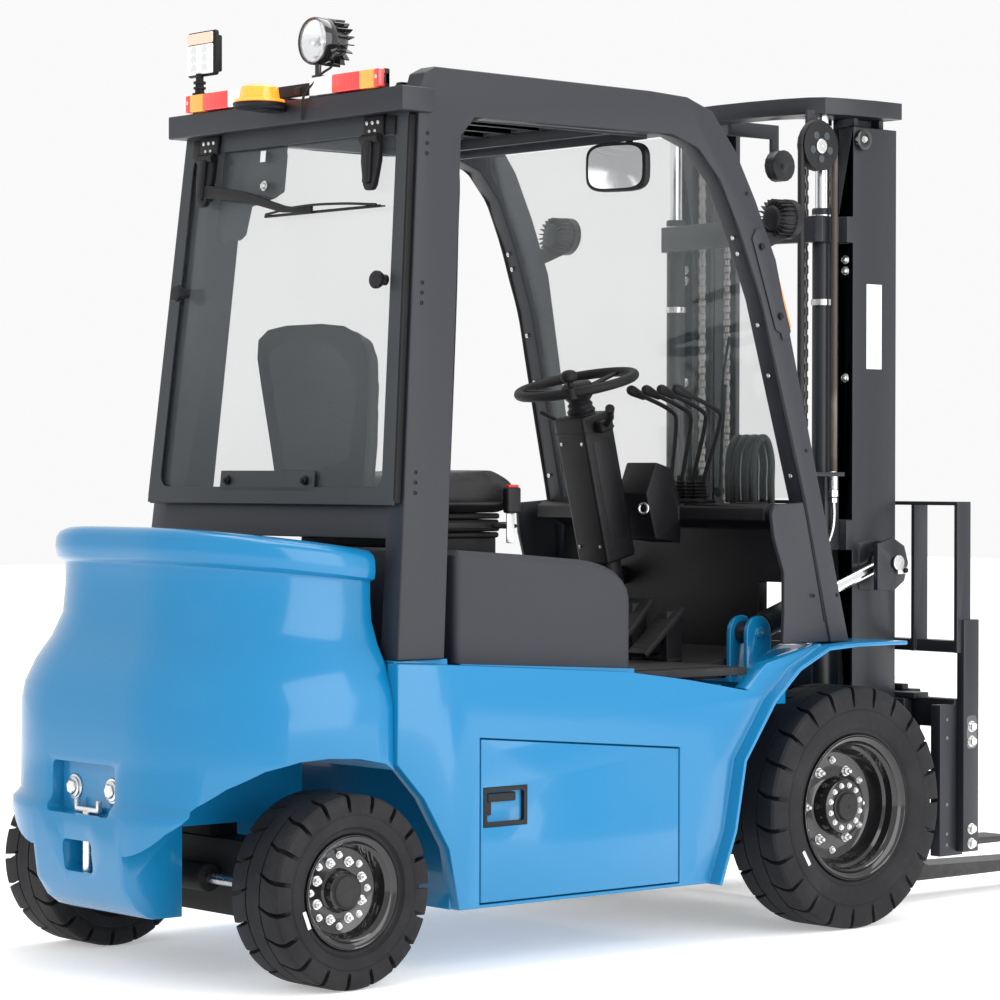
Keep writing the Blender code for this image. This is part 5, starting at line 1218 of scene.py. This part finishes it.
class FORKLIFT_OT_steering(bpy.types.Operator):
    """Steering wheel with its knob, the column cover and the stalk"""

    bl_idname = "forklift.steering"
    bl_label = "Steering"

    def execute(self, context):
        turn = steering_frame()
        ring = [(0.0132 * sin(TAU * i / 16), 0.155 + 0.0132 * cos(TAU * i / 16)) for i in range(16)]
        rim = spun(ring + [ring[0]], HOME, steps=64)
        hub = spun([(-0.0380, 0), (-0.0380, 0.030), (-0.030, 0.036), (-0.020, 0.044), (-0.010, 0.046),
                    (-0.004, 0.044),
                    (0.004, 0.040), (0.010, 0.036), (0.012, 0.030), (0.0125, 0)], HOME, steps=40)
        hub.data.transform(Matrix.Translation((0, 0, -0.006)))
        spokes = []
        for angle in (pi / 2, pi / 2 + TAU / 3, pi / 2 - TAU / 3):
            spoke = local(block(0.030, 0.150, -0.017, 0.017, -0.0085, -0.0005, 0.0035, 3), Matrix.Identity(4))
            for vertex in spoke.data.vertices:
                vertex.co.y *= 1.35 - 5 * vertex.co.x * (0.2 - vertex.co.x) / 0.05
                vertex.co.z += 0.0035 - 0.35 * (0.155 - vertex.co.x) ** 2 * 3
            spoke.data.transform(Matrix.Rotation(angle, 4, "Z"))
            spokes.append(spoke)
        stem = spun([(0, 0), (0, 0.0085), (0.030, 0.0075), (0.030, 0)], (0.100, -0.110, 0), steps=20)
        ball = spun([(0.0285, 0), (0.0285, 0.012), (0.034, 0.019), (0.042, 0.0225), (0.051, 0.0215),
                     (0.057, 0.016),
                     (0.0600, 0.008), (0.0602, 0)], (0.100, -0.110, 0), steps=32)
        clamp = spun([(-0.015, 0), (-0.015, 0.016), (0.0, 0.0165), (0.0135, 0.016), (0.016, 0.010),
                      (0.016, 0)],
                     (0.104, -0.114, 0), steps=24)
        wheel = joined(rim, hub, *spokes, stem, ball, clamp)
        wheel.data.transform(turn)
        finished(wheel, "steering_wheel_grip", "soft grip", "hand_wheel", slot_of("steering_wheel"),
                 "steering_wheel",
                 angle=50)
        cover = local(block(-0.058, 0.058, -0.053, 0.053, -0.478, -0.082, 0.009, 4), turn)
        lip = local(block(-0.0595, 0.0595, -0.0545, 0.0545, -0.128, -0.122, 0.002), turn)
        seam = local(block(0.0576, 0.0592, -0.030, 0.036, -0.420, -0.150, 0.003), turn)
        boot = spun([(-0.085, 0), (-0.085, 0.040), (-0.078, 0.036), (-0.070, 0.038), (-0.062, 0.032),
                     (-0.054, 0.034),
                     (-0.046, 0.028), (-0.0405, 0.028), (-0.0405, 0)], HOME, steps=32)
        boot.data.transform(turn)
        tube = spun([(-0.728, 0), (-0.728, 0.033), (-0.470, 0.033), (-0.470, 0)], HOME, steps=24)
        tube.data.transform(turn)
        foot = block(-0.078, 0.078, -0.343, -0.212, 0.7015, 0.7330, 0.006, 3)
        chassis_piece(joined(cover, lip, seam, boot, tube, foot), "steering_column_cover", "black plastic",
                      slot_of("steering_column"), "steering_column")
        spots = [(x, -0.0535, z) for x in (-0.040, 0.040) for z in (-0.150, -0.430)]
        screws = copies(screw(0.0050, 0.5), [turn @ Matrix.Translation(spot) @ Matrix.Rotation(pi / 2, 4, "X")
                                             for spot in spots])
        chassis_piece(screws, "column_screws", "zinc", "bright_steel")
        stalk = local(joined(
            hose([(0.050, 0.010, -0.112), (0.075, 0.008, -0.112), (0.100, -0.004, -0.104),
                  (0.128, -0.020, -0.084)],
                 0.0085, 3),
            hose([(0.124, -0.017, -0.088), (0.136, -0.026, -0.076), (0.156, -0.038, -0.058)], 0.0125, 4),
            block(0.050, 0.088, -0.018, 0.030, -0.130, -0.098, 0.009, 3)), turn)
        chassis_piece(stalk, "direction_stalk", "soft grip", "battery_case")
        left = local(joined(
            hose([(-0.050, 0.010, -0.112), (-0.080, 0.008, -0.108), (-0.128, -0.004, -0.085),
                  (-0.150, -0.010, -0.072)],
                 0.0060, 3),
            block(-0.082, -0.050, -0.014, 0.026, -0.126, -0.100, 0.007, 3)), turn)
        chassis_piece(left, "turn_signal_stalk", "soft grip", "battery_case")
        return {"FINISHED"}


class FORKLIFT_OT_controls(bpy.types.Operator):
    """Hydraulic levers with their ribbed boots, dash with its pod and cup recess, whose depth is a dark disc
    of painted shade, pedals and mat
    """

    bl_idname = "forklift.controls"
    bl_label = "Controls"

    def execute(self, context):
        cab = context.scene.forklift_cab
        pieces = [block(0.017, 0.183, -0.188, -0.122, 1.1065, 1.116, 0.003)]
        for i in range(cab.levers):
            x = 0.088 + i * 0.058
            root = (0.040 + i * 0.040, -0.155, 1.150)
            bend, grip = (x, -0.180, 1.345), (x - 0.010, -0.320, 1.400)
            pieces.append(hose([root, (x * 0.97 + 0.001, -0.178, 1.325), (bend[0], -0.1835, 1.3405),
                                (bend[0] - 0.001, -0.197, 1.352), grip], 0.0060, 3, resolution=8))
            ahead = Vector(grip) - Vector(bend)
            tip = at(*(Vector(bend) + ahead * 1.06))
            pieces.append(spun([(-0.045, 0), (-0.045, 0.007), (-0.040, 0.0095), (-0.020, 0.0115),
                                (0.000, 0.0140),
                                (0.010, 0.0130), (0.016, 0.0085), (0.018, 0)], tip, ahead, 24))
        for i in range(cab.levers):
            x = 0.040 + i * 0.040
            profile = [(0.0, 0), (0.0, 0.021)]
            for k in range(6):
                profile += [(0.004 + k * 0.0092, 0.0215 - k * 0.0012),
                            (0.0085 + k * 0.0092, 0.0150 - k * 0.0009)]
            profile += [(0.062, 0.010), (0.068, 0.0085), (0.068, 0)]
            pieces.append(spun(profile, at(x, -0.155, 1.112), steps=24))
        chassis_piece(joined(*pieces), "lever_bank_detail", "soft grip", slot_of("lever_bank"), "lever_bank",
                      angle=40)
        dressed("dash", "black plastic", 0.0045, 3, "dash_moulding")
        ring = spun([(0, 0.010), (0.0025, 0.010), (0.0045, 0.0125), (0.0045, 0.0145), (0.0030, 0.0165),
                     (0, 0.0165),
                     (0, 0.010)], HOME, steps=28)
        switches = copies(ring, [turned_to((0.35, -0.93, 0.10), at(0.112, -0.320, 1.092))])
        chassis_piece(switches, "key_switch_ring", "zinc", "bright_steel")
        screen = block(0.028, 0.112, -0.3120, -0.3060, 1.140, 1.192, 0.002)
        for vertex in screen.data.vertices:
            vertex.co.y += (vertex.co.z - 1.166) * 0.42 + 0.002
        chassis_piece(screen, "display", "screen", "battery_case")
        cup = spun([(0, 0.030), (0.0030, 0.031), (0.0045, 0.0345), (0.0030, 0.038), (0, 0.0385)],
                   at(0.330, -0.140, 1.1058),
                   steps=36)
        chassis_piece(cup, "cup_ring", "soft grip", "battery_case")
        # A thin dark disc under the cup ring: painted shade standing in for the depth of the cup well.
        well = spun([(0.0008, 0), (0.0008, 0.0305), (0.0014, 0.0305), (0.0014, 0)],
                    at(0.330, -0.140, 1.1056), steps=36)
        chassis_piece(well, "cup_well_painted_shade", "screen", "battery_case")
        dressed("pedals", "soft grip", 0.0020, 2, "pedal_levers")
        slope = (0.830 - 0.712) / 0.140
        ribs = [block(0.186, 0.244, y, y + 0.005, 0.7210 + (y + 0.440) * slope, 0.7245 + (y + 0.440) * slope,
                      0.001)
                for y in [-0.430 + 0.0135 * k for k in range(9)]]
        chassis_piece(joined(*ribs), "accelerator_ribs", "floor rubber", "floor_rubber")
        dressed("floor_plate", "floor rubber", 0.0010, 1, "floor_mat")
        grooves = [block(-0.440 + 0.030 * k, -0.420 + 0.030 * k, -0.705, -0.335, 0.6903, 0.6925, 0.0009, 1)
                   for k in range(30)]
        chassis_piece(joined(*grooves), "mat_ribs", "floor rubber", "floor_rubber")
        brake = joined(hose([(-0.200, -0.200, 0.900), (-0.200, -0.260, 1.060), (-0.200, -0.300, 1.150)],
                            0.008, 3),
                       spun([(0, 0), (0, 0.012), (0.010, 0.015), (0.070, 0.014), (0.085, 0.010), (0.088, 0)],
                            at(-0.200, -0.292, 1.140), (0, -0.40, 0.92), 24),
                       block(-0.215, -0.185, -0.210, -0.100, 0.880, 0.930, 0.006))
        chassis_piece(brake, "parking_brake", "soft grip", "battery_case")
        return {"FINISHED"}


class Cab(bpy.types.PropertyGroup):
    """Sizes in the cab."""

    hood_edge: FloatProperty(name="Hood edge", description="Rounding of the hood's side edges",
                             default=0.022, min=0.002,
                             subtype="DISTANCE", unit="LENGTH")
    levers: IntProperty(name="Levers", description="Hydraulic levers", default=4, min=1, max=4)


# ---- mast, carriage and frame trim -----------------------------------------------------------
def chain_links(path, pitch):
    """Leaf-chain links laid along a line of (y, z) points, in a strand about x 0."""
    wide = pitch * 0.62
    oval = [(0.0042 * sin(a), (1 if cos(a) > 0 else -1) * pitch * 0.42 + 0.0042 * cos(a))
            for a in [TAU * (i + 0.5) / 12 for i in range(12)]]
    home = Matrix.Identity(4)

    def plate(low, high):
        return local(sheet_cut([(y, z) for y, z in oval], "X", low, high, 0), home)

    outer = joined(plate(-0.0105, -0.0082), plate(0.0082, 0.0105), plate(-0.0016, 0.0016))
    inner = joined(plate(-0.0070, -0.0034), plate(0.0034, 0.0070))
    pin = spun([(-0.0112, 0), (-0.0112, 0.0026), (0.0112, 0.0026), (0.0112, 0)], HOME, RIGHT, 8)
    spots, left, carried = [], wide * 0.5, 0.0
    for (y0, z0), (y1, z1) in zip(path, path[1:]):
        length = hypot(y1 - y0, z1 - z0)
        while left <= carried + length:
            share = (left - carried) / length
            spots.append(Matrix.Translation(at(0, y0 + (y1 - y0) * share, z0 + (z1 - z0) * share))
                         @ Matrix.Rotation(atan2(z1 - z0, y1 - y0) - pi / 2, 4, "X"))
            left += pitch
        carried += length
    copies(outer, spots[::2])
    copies(inner, spots[1::2] or spots[:1])
    copies(pin, [spot @ Matrix.Translation((0, 0, side * pitch * 0.5)) for spot in spots for side in (-1, 1)])
    return joined(outer, inner, pin)


def shifted(piece, x):
    piece.data.transform(Matrix.Translation((x, 0, 0)))
    return piece


class FORKLIFT_OT_chains(bpy.types.Operator):
    """Leaf chains and the hose over the mast"""

    bl_idname = "forklift.chains"
    bl_label = "Chains and hoses"

    def execute(self, context):
        mast = context.scene.forklift_mast
        sheave_y, sheave_z, radius = 0.245, 2.075, 0.0485
        arc = [(sheave_y - radius * cos(a * pi / 16), sheave_z + radius * sin(a * pi / 16))
               for a in range(17)]
        rear = [(sheave_y - radius, 1.052), (sheave_y - radius, sheave_z)]
        front = [(sheave_y + radius, sheave_z), (sheave_y + radius, 0.560)]
        for name, sign in SIDES.items():
            over = shifted(chain_links(arc, mast.chain_pitch), sign * 0.200)
            finished(over, "chain_over_" + name, "chain steel", "mast_inner", "bright_steel", "lift_chain_"
                     + name)
            back = shifted(chain_links(rear, mast.chain_pitch), sign * 0.200)
            finished(back, "chain_rear_" + name, "chain steel", None, "bright_steel")
            at(0.2 * sign, rear[0][0], rear[0][1])
            at(0.2 * sign, rear[1][0], rear[1][1])
            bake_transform(back)
            ahead = shifted(chain_links(front, mast.chain_pitch), sign * 0.200)
            finished(ahead, "chain_front_" + name, "chain steel", None, "bright_steel")
            at(0.2 * sign, front[0][0], front[0][1])
            at(0.2 * sign, front[1][0], front[1][1])
            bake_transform(ahead)
        x, y0, z0, turn = 0.331, 0.110, 2.062, 0.0643
        loop = [(x, y0 - turn * cos(a * pi / 12), z0 + turn * sin(a * pi / 12)) for a in range(13)]
        top = hose(loop, 0.0090, 3, smooth=True)
        finished(top, "mast_hose_over", "hose rubber", "mast_inner", "hose_rubber", "mast_hose", angle=60)
        for name, y, kind in (("rear", y0 - turn, "hose rubber"), ("front", y0 + turn, "worn hose")):
            points = [(x, y, z0 - (z0 - 1.192) * i / 24) for i in range(25)]
            strand = hose(points, 0.0090, 3, resolution=1, smooth=False)
            finished(strand, "mast_hose_" + name, kind, None, "hose_rubber", angle=60)
            at(x, y, 1.192)
            at(x, y, z0)
            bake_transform(strand)
        fittings = []
        for y in (y0 - turn, y0 + turn):
            fittings += [spun([(0, 0), (0, 0.0115), (0.046, 0.0115), (0.048, 0.0100), (0.048, 0)],
                              at(x, y, 1.1430),
                              steps=24),
                         spun([(0, 0), (0, 0.0145), (0.016, 0.0145), (0.018, 0.012), (0.018, 0)],
                              at(x, y, 1.124),
                              steps=6),
                         spun([(0, 0), (0, 0.0125), (0.012, 0.0125), (0.012, 0)], at(x, y, 1.108), steps=6)]
        finished(joined(*fittings), "hose_fittings", "zinc", "mast_outer", "bright_steel", angle=30)
        y = y0 + turn
        pipe = hose([(x, y, 1.112), (x, y, 1.060), (x - 0.006, y - 0.004, 1.020),
                     (x - 0.024, y - 0.008, 0.985),
                     (x - 0.036, y - 0.008, 0.930), (x - 0.036, y - 0.008, 0.700)], 0.0058, 3)
        finished(pipe, "hose_pipes", "zinc", "mast_outer", "bright_steel", angle=60)
        return {"FINISHED"}


class FORKLIFT_OT_mast(bpy.types.Operator):
    """Rollers, clamps, pins, pulleys and a blank label on the mast"""

    bl_idname = "forklift.mast"
    bl_label = "Mast trim"

    def execute(self, context):
        outer, bright = "mast_outer", "bright_steel"
        roller = spun([(0, 0), (0, 0.024), (0.002, 0.0275), (0.014, 0.0275), (0.016, 0.024), (0.016, 0.014),
                       (0.012, 0.012), (0.012, 0)], at(0.3403, 0.268, 2.0900), RIGHT, 32)
        finished(mirror_too(roller), "guide_rollers", "rim paint", outer, slot_of("outer_mast"))
        nuts = copies(bolt(0.0080, 0.8, 1.2), [turned_to(RIGHT, at(0.3525, 0.268, 2.0900))])
        finished(mirror_too(nuts), "guide_roller_bolts", "zinc", outer, bright)
        clips = copies(bolt(0.0100, 0.7, 1.2, 0.004), [turned_to(BACK, at(0.3120, 0.2398, z))
                                                       for z in (1.765, 1.735, 1.445)])
        finished(mirror_too(clips), "rail_clips", "zinc", outer, bright)
        label = block(0.3401, 0.3407, 0.292, 0.352, 1.470, 1.700, 0.0002, 1)
        finished(label, "blank_mast_label", "white plastic", outer, slot_of("outer_mast"))
        pins = mirror_too(joined(
            spun([(0, 0), (0, 0.0205), (0.003, 0.0205), (0.005, 0.0185), (0.005, 0.0050), (0.003, 0.0040),
                  (0.003, 0)],
                 at(0.4201, 0.335, 0.945), RIGHT, 32),
            block(0.4202, 0.4240, 0.330, 0.368, 0.914, 0.934, 0.0015)))
        finished(pins, "tilt_pin_keepers", "zinc", outer, bright)
        keeper = copies(bolt(0.0070, 0.8, 1.1), [turned_to(RIGHT, at(0.4240, 0.358, 0.924))])
        finished(mirror_too(keeper), "tilt_keeper_bolts", "soft grip", outer, slot_of("outer_mast"))
        bands = [spun([(0, 0.0262), (0, 0.0290), (0.016, 0.0290), (0.016, 0.0262), (0, 0.0262)],
                      at(0.285, 0.175, z), steps=32) for z in (1.868, 1.640, 0.60)]
        finished(mirror_too(joined(*bands)), "lift_cylinder_bands", "zinc", outer, bright)
        gland = spun([(0, 0.0185), (0, 0.0275), (0.026, 0.0275), (0.030, 0.0250), (0.030, 0.0185),
                      (0, 0.0185)],
                     at(0.285, 0.175, 1.872), steps=32)
        finished(mirror_too(gland), "lift_cylinder_glands", "mast paint", outer,
                 slot_of("lift_cylinder_right"))
        hub = spun([(0, 0), (0, 0.0195), (0.002, 0.0195), (0.004, 0.017), (0.004, 0.006), (0.002, 0.005),
                    (0.002, 0)], at(0.3449, 0.110, 2.062), RIGHT, 32)
        finished(hub, "hose_wheel_cap", "zinc", "mast_inner", bright)
        # Thin dark discs on the hose wheel: painted shade standing in for its holes.
        painted_hole_shades = copies(spun([(0, 0), (0, 0.0105), (0.0008, 0.0105), (0.0008, 0)], HOME, steps=18),
                       [Matrix.Translation(at(0.3449, 0.110, 2.062)) @ Matrix.Rotation(TAU * (i + 0.5) / 5,
                                                                                       4, "X")
                        @ Matrix.Translation((0, 0, 0.034)) @ Matrix.Rotation(pi / 2, 4, "Y")
                        for i in range(5)])
        finished(painted_hole_shades, "hose_wheel_painted_hole_shade", "screen", "mast_inner", slot_of("hose_wheel"))
        return {"FINISHED"}


class FORKLIFT_OT_carriage(bpy.types.Operator):
    """Bolts and latches on the load backrest, side shifter and forks"""

    bl_idname = "forklift.carriage"
    bl_label = "Carriage trim"

    def execute(self, context):
        sides = copies(bolt(0.0125, 0.75, 1.25), [turned_to(RIGHT, at(0.5309, 0.508, z))
                                                  for z in (0.500, 0.460, 0.222, 0.182)])
        finished(mirror_too(sides), "backrest_bolts", "zinc", "shift_frame", "bright_steel")
        # A thin dark sheet on each side of the backrest: painted shade standing in for its slots.
        slots = rounded_box(0.5306, 0.5314, 0.488, 0.528, 0.440, 0.530, 0.012, "X", 6)
        finished(mirror_too(slots), "backrest_painted_slot_shade", "screen", "shift_frame", slot_of("load_backrest"))
        # Thin dark discs on the side shifter: painted shade standing in for their holes.
        painted_hole_shades = copies(spun([(0, 0), (0, 0.0050), (0.0006, 0.0050), (0.0006, 0)], HOME, steps=14),
                       [turned_to(RIGHT, at(0.5050, 0.438, z)) for z in (0.520, 0.470, 0.290, 0.210, 0.180)])
        finished(mirror_too(painted_hole_shades), "shifter_painted_hole_shade", "screen", "shift_frame", slot_of("side_shifter"))
        latch = spun([(0, 0), (0, 0.0075), (0.026, 0.0075), (0.028, 0.0130), (0.036, 0.0130), (0.038, 0.0100),
                      (0.038, 0)], at(0.250, 0.492, 0.5865), steps=24)
        finished(mirror_too(latch), "fork_latches", "zinc", "shift_frame", "bright_steel")
        top = block(-0.055, 0.055, 0.4640, 0.5020, 0.5865, 0.6100, 0.004)
        finished(top, "shift_cylinder_anchor", "mast paint", "shift_frame", slot_of("side_shifter"))
        return {"FINISHED"}


class FORKLIFT_OT_trim(bpy.types.Operator):
    """Door pockets, clevis pins, hydraulic hoses and the windscreen wiper"""

    bl_idname = "forklift.trim"
    bl_label = "Frame trim"

    def execute(self, context):
        for name, sign in SIDES.items():
            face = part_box("side_door_" + name)[1 if sign > 0 else 0].x
            frame_piece = block(face - sign * 0.0180, face + sign * 0.0006, -1.2470, -1.1110, 0.3460, 0.4390,
                                0.0010)
            cut_by(frame_piece, rounded_box(-1, 1, -1.2370, -1.1210, 0.3560, 0.4290, 0.006, "X", 4))
            floor_piece = block(face - sign * 0.0200, face - sign * 0.0172, -1.2470, -1.1110, 0.3460, 0.4390,
                                0.0005)
            paddle = joined(block(face - sign * 0.0100, face - sign * 0.0015, -1.2330, -1.1450, 0.4040,
                                  0.4250, 0.003, 3),
                            block(face - sign * 0.0172, face - sign * 0.0060, -1.2330, -1.2180, 0.3720,
                                  0.4200, 0.003))
            finished(joined(frame_piece, floor_piece, paddle), "door_handle_" + name, "black plastic",
                     body_of("side_door_" + name), "battery_case")
            glint = block(face - sign * 0.0172, face - sign * 0.0160, -1.2100, -1.1350, 0.3640, 0.3960,
                          0.0005)
            finished(glint, "door_latch_plate_" + name, "zinc", body_of("side_door_" + name), "bright_steel")
            ear = sign * 0.4010
            pin = spun([(0, 0), (0, 0.0150), (0.004, 0.0150), (0.006, 0.0130), (0.006, 0)],
                       at(ear, -0.185, 0.770), (sign, 0, 0), 28)
            chassis_piece(pin, "clevis_pin_head_" + name, "zinc", "bright_steel")
            nipple = spun([(0, 0), (0, 0.0052), (0.006, 0.0052), (0.007, 0.0034), (0.011, 0.0040),
                           (0.014, 0.0028),
                           (0.015, 0)], at(ear + sign * 0.006, -0.185, 0.770), (sign, 0, 0), 16)
            chassis_piece(nipple, "clevis_nipple_" + name, "brass fitting", "bright_steel")
        x = 0.300
        runs = [hose([(x - 0.030 * i, -0.100, 1.108), (x - 0.030 * i, -0.102, 1.200),
                      (x - 0.030 * i, -0.088, 1.262),
                      (x - 0.030 * i, -0.062, 1.280), (x - 0.030 * i, -0.040, 1.250),
                      (x - 0.030 * i, -0.034, 1.150),
                      (x - 0.030 * i, -0.034, 0.900)], 0.0105, 3) for i in range(4)]
        chassis_piece(joined(*runs), "hydraulic_hoses", "hose rubber", "hose_rubber", angle=60)
        wiper = joined(hose([(0.140, -0.066, 1.135), (0.170, -0.092, 1.230), (0.245, -0.150, 1.420)], 0.0050,
                            3),
                       hose([(0.185, -0.112, 1.300), (0.245, -0.158, 1.440), (0.300, -0.190, 1.545)], 0.0038,
                            2),
                       spun([(0, 0), (0, 0.014), (0.012, 0.013), (0.020, 0.008), (0.021, 0)],
                            at(0.140, -0.075, 1.135),
                            (0, 0.96, 0.28), 20))
        chassis_piece(wiper, "front_wiper", "black plastic", "battery_case")
        return {"FINISHED"}


class Mast(bpy.types.PropertyGroup):
    """Sizes on the mast."""

    chain_pitch: FloatProperty(name="Chain pitch", description="Length of one leaf-chain link",
                               default=0.0190,
                               min=0.008, subtype="DISTANCE", unit="LENGTH")


class Look(bpy.types.PropertyGroup):
    """Colours and light that apply to the whole truck."""

    paint: FloatVectorProperty(name="Body paint",
                               description="Colour of the enamel on body and counterweight",
                               default=(0.0020, 0.165, 0.360), subtype="COLOR", min=0, max=1)
    glass: FloatVectorProperty(name="Cab glass", description="Tint of the windscreen",
                               default=(0.16, 0.19, 0.19), subtype="COLOR", min=0, max=1)
    edge: FloatProperty(name="Edge radius", description="Rounding of plate edges", default=0.0022, min=0,
                        subtype="DISTANCE", unit="LENGTH")
    light: FloatProperty(name="Light", description="Strength of the studio light", default=1.0, min=0)


class FORKLIFT_OT_stage(bpy.types.Operator):
    """Floor, studio light and camera"""

    bl_idname = "forklift.stage"
    bl_label = "Stage"

    def execute(self, context):
        look = context.scene.forklift_look
        bpy.ops.mesh.primitive_plane_add(size=60, location=(0, 0, -0.0005))
        floor = context.object
        floor.name = "studio_floor"
        pale = Finish("pale floor", Base_Color=(0.88, 0.88, 0.88), Roughness=0.8, Specular_IOR_Level=0.1,
                      Emission_Color=(1, 1, 1, 1), Emission_Strength=0.34)
        floor.data.materials.append(pale.material)
        world = bpy.data.worlds.new("studio")
        world.use_nodes = True
        context.scene.world = world
        sky = world.node_tree.nodes["Background"]
        sky.inputs["Color"].default_value = (1.0, 1.0, 1.0, 1)
        sky.inputs["Strength"].default_value = 0.95 * look.light
        for name, place, size, watts, towards in (
            ("side_softbox", (7.5, 0.5, 3.2), 7.0, 420, (0, 0, 1.0)),
            ("rear_softbox", (0.8, -7.5, 3.6), 3.4, 110, (0, -0.8, 0.9)),
            ("top_softbox", (0.0, 0.5, 6.5), 4.5, 240, (0, 0, 0.8)),
            ("front_softbox", (4.0, 6.5, 3.0), 3.0, 160, (0, 1.0, 1.0)),
        ):
            light = bpy.data.lights.new(name, "AREA")
            light.size, light.energy = size, watts * look.light
            lamp = bpy.data.objects.new(name, light)
            context.collection.objects.link(lamp)
            lamp.location = place
            lamp.visible_glossy = name in ("top_softbox", "side_softbox")
            lamp.rotation_euler = (Vector(towards) - Vector(place)).to_track_quat("-Z", "Y").to_euler()
        camera = bpy.data.cameras.new("camera")
        camera.sensor_width, camera.lens = 36.0, 119.37
        camera.clip_end = 200
        eye = bpy.data.objects.new("camera", camera)
        context.collection.objects.link(eye)
        yaw, pitch, roll = radians(49.293), radians(-0.444), radians(0.111)
        ahead = Vector((-sin(yaw) * cos(pitch), cos(yaw) * cos(pitch), sin(pitch)))
        right = Vector((cos(yaw), sin(yaw), 0))
        up = right.cross(ahead)
        turn = Matrix((right, up, -ahead)).transposed().to_4x4()
        eye.matrix_world = Matrix.Translation(at(6.517, -6.333, 1.182)) @ turn @ Matrix.Rotation(roll, 4, "Z")
        context.scene.camera = eye
        context.scene.view_settings.view_transform = "Standard"
        return {"FINISHED"}


GROUPS = {"forklift_look": Look, "forklift_wheels": Wheels, "forklift_weight": Weight, "forklift_cab": Cab,
          "forklift_mast": Mast}
OPERATORS = (
    FORKLIFT_OT_shells,
    FORKLIFT_OT_wheels,
    FORKLIFT_OT_counterweight,
    FORKLIFT_OT_guard,
    FORKLIFT_OT_window,
    FORKLIFT_OT_lamps,
    FORKLIFT_OT_mirror,
    FORKLIFT_OT_hood,
    FORKLIFT_OT_seat,
    FORKLIFT_OT_steering,
    FORKLIFT_OT_controls,
    FORKLIFT_OT_chains,
    FORKLIFT_OT_mast,
    FORKLIFT_OT_carriage,
    FORKLIFT_OT_trim,
    FORKLIFT_OT_stage,
)


class FORKLIFT_PT_panel(bpy.types.Panel):
    """Lists the settings and the pieces"""

    bl_label = "Forklift"
    bl_idname = "FORKLIFT_PT_panel"
    bl_space_type = "VIEW_3D"
    bl_region_type = "UI"
    bl_category = "Forklift"

    def draw(self, context):
        for group in GROUPS:
            settings = getattr(context.scene, group)
            for key in settings.__annotations__:
                self.layout.prop(settings, key)
        for operator in OPERATORS:
            self.layout.operator(operator.bl_idname)


def register():
    for kind in (*GROUPS.values(), *OPERATORS, FORKLIFT_PT_panel):
        bpy.utils.register_class(kind)
    for name, kind in GROUPS.items():
        setattr(bpy.types.Scene, name, PointerProperty(type=kind))


def unregister():
    for name in GROUPS:
        delattr(bpy.types.Scene, name)
    for kind in reversed((*GROUPS.values(), *OPERATORS, FORKLIFT_PT_panel)):
        bpy.utils.unregister_class(kind)


def main():
    register()
    make_finishes(bpy.context.scene.forklift_look)
    for operator in OPERATORS:
        family, name = operator.bl_idname.split(".")
        getattr(getattr(bpy.ops, family), name)()


if __name__ == "__main__":
    main()
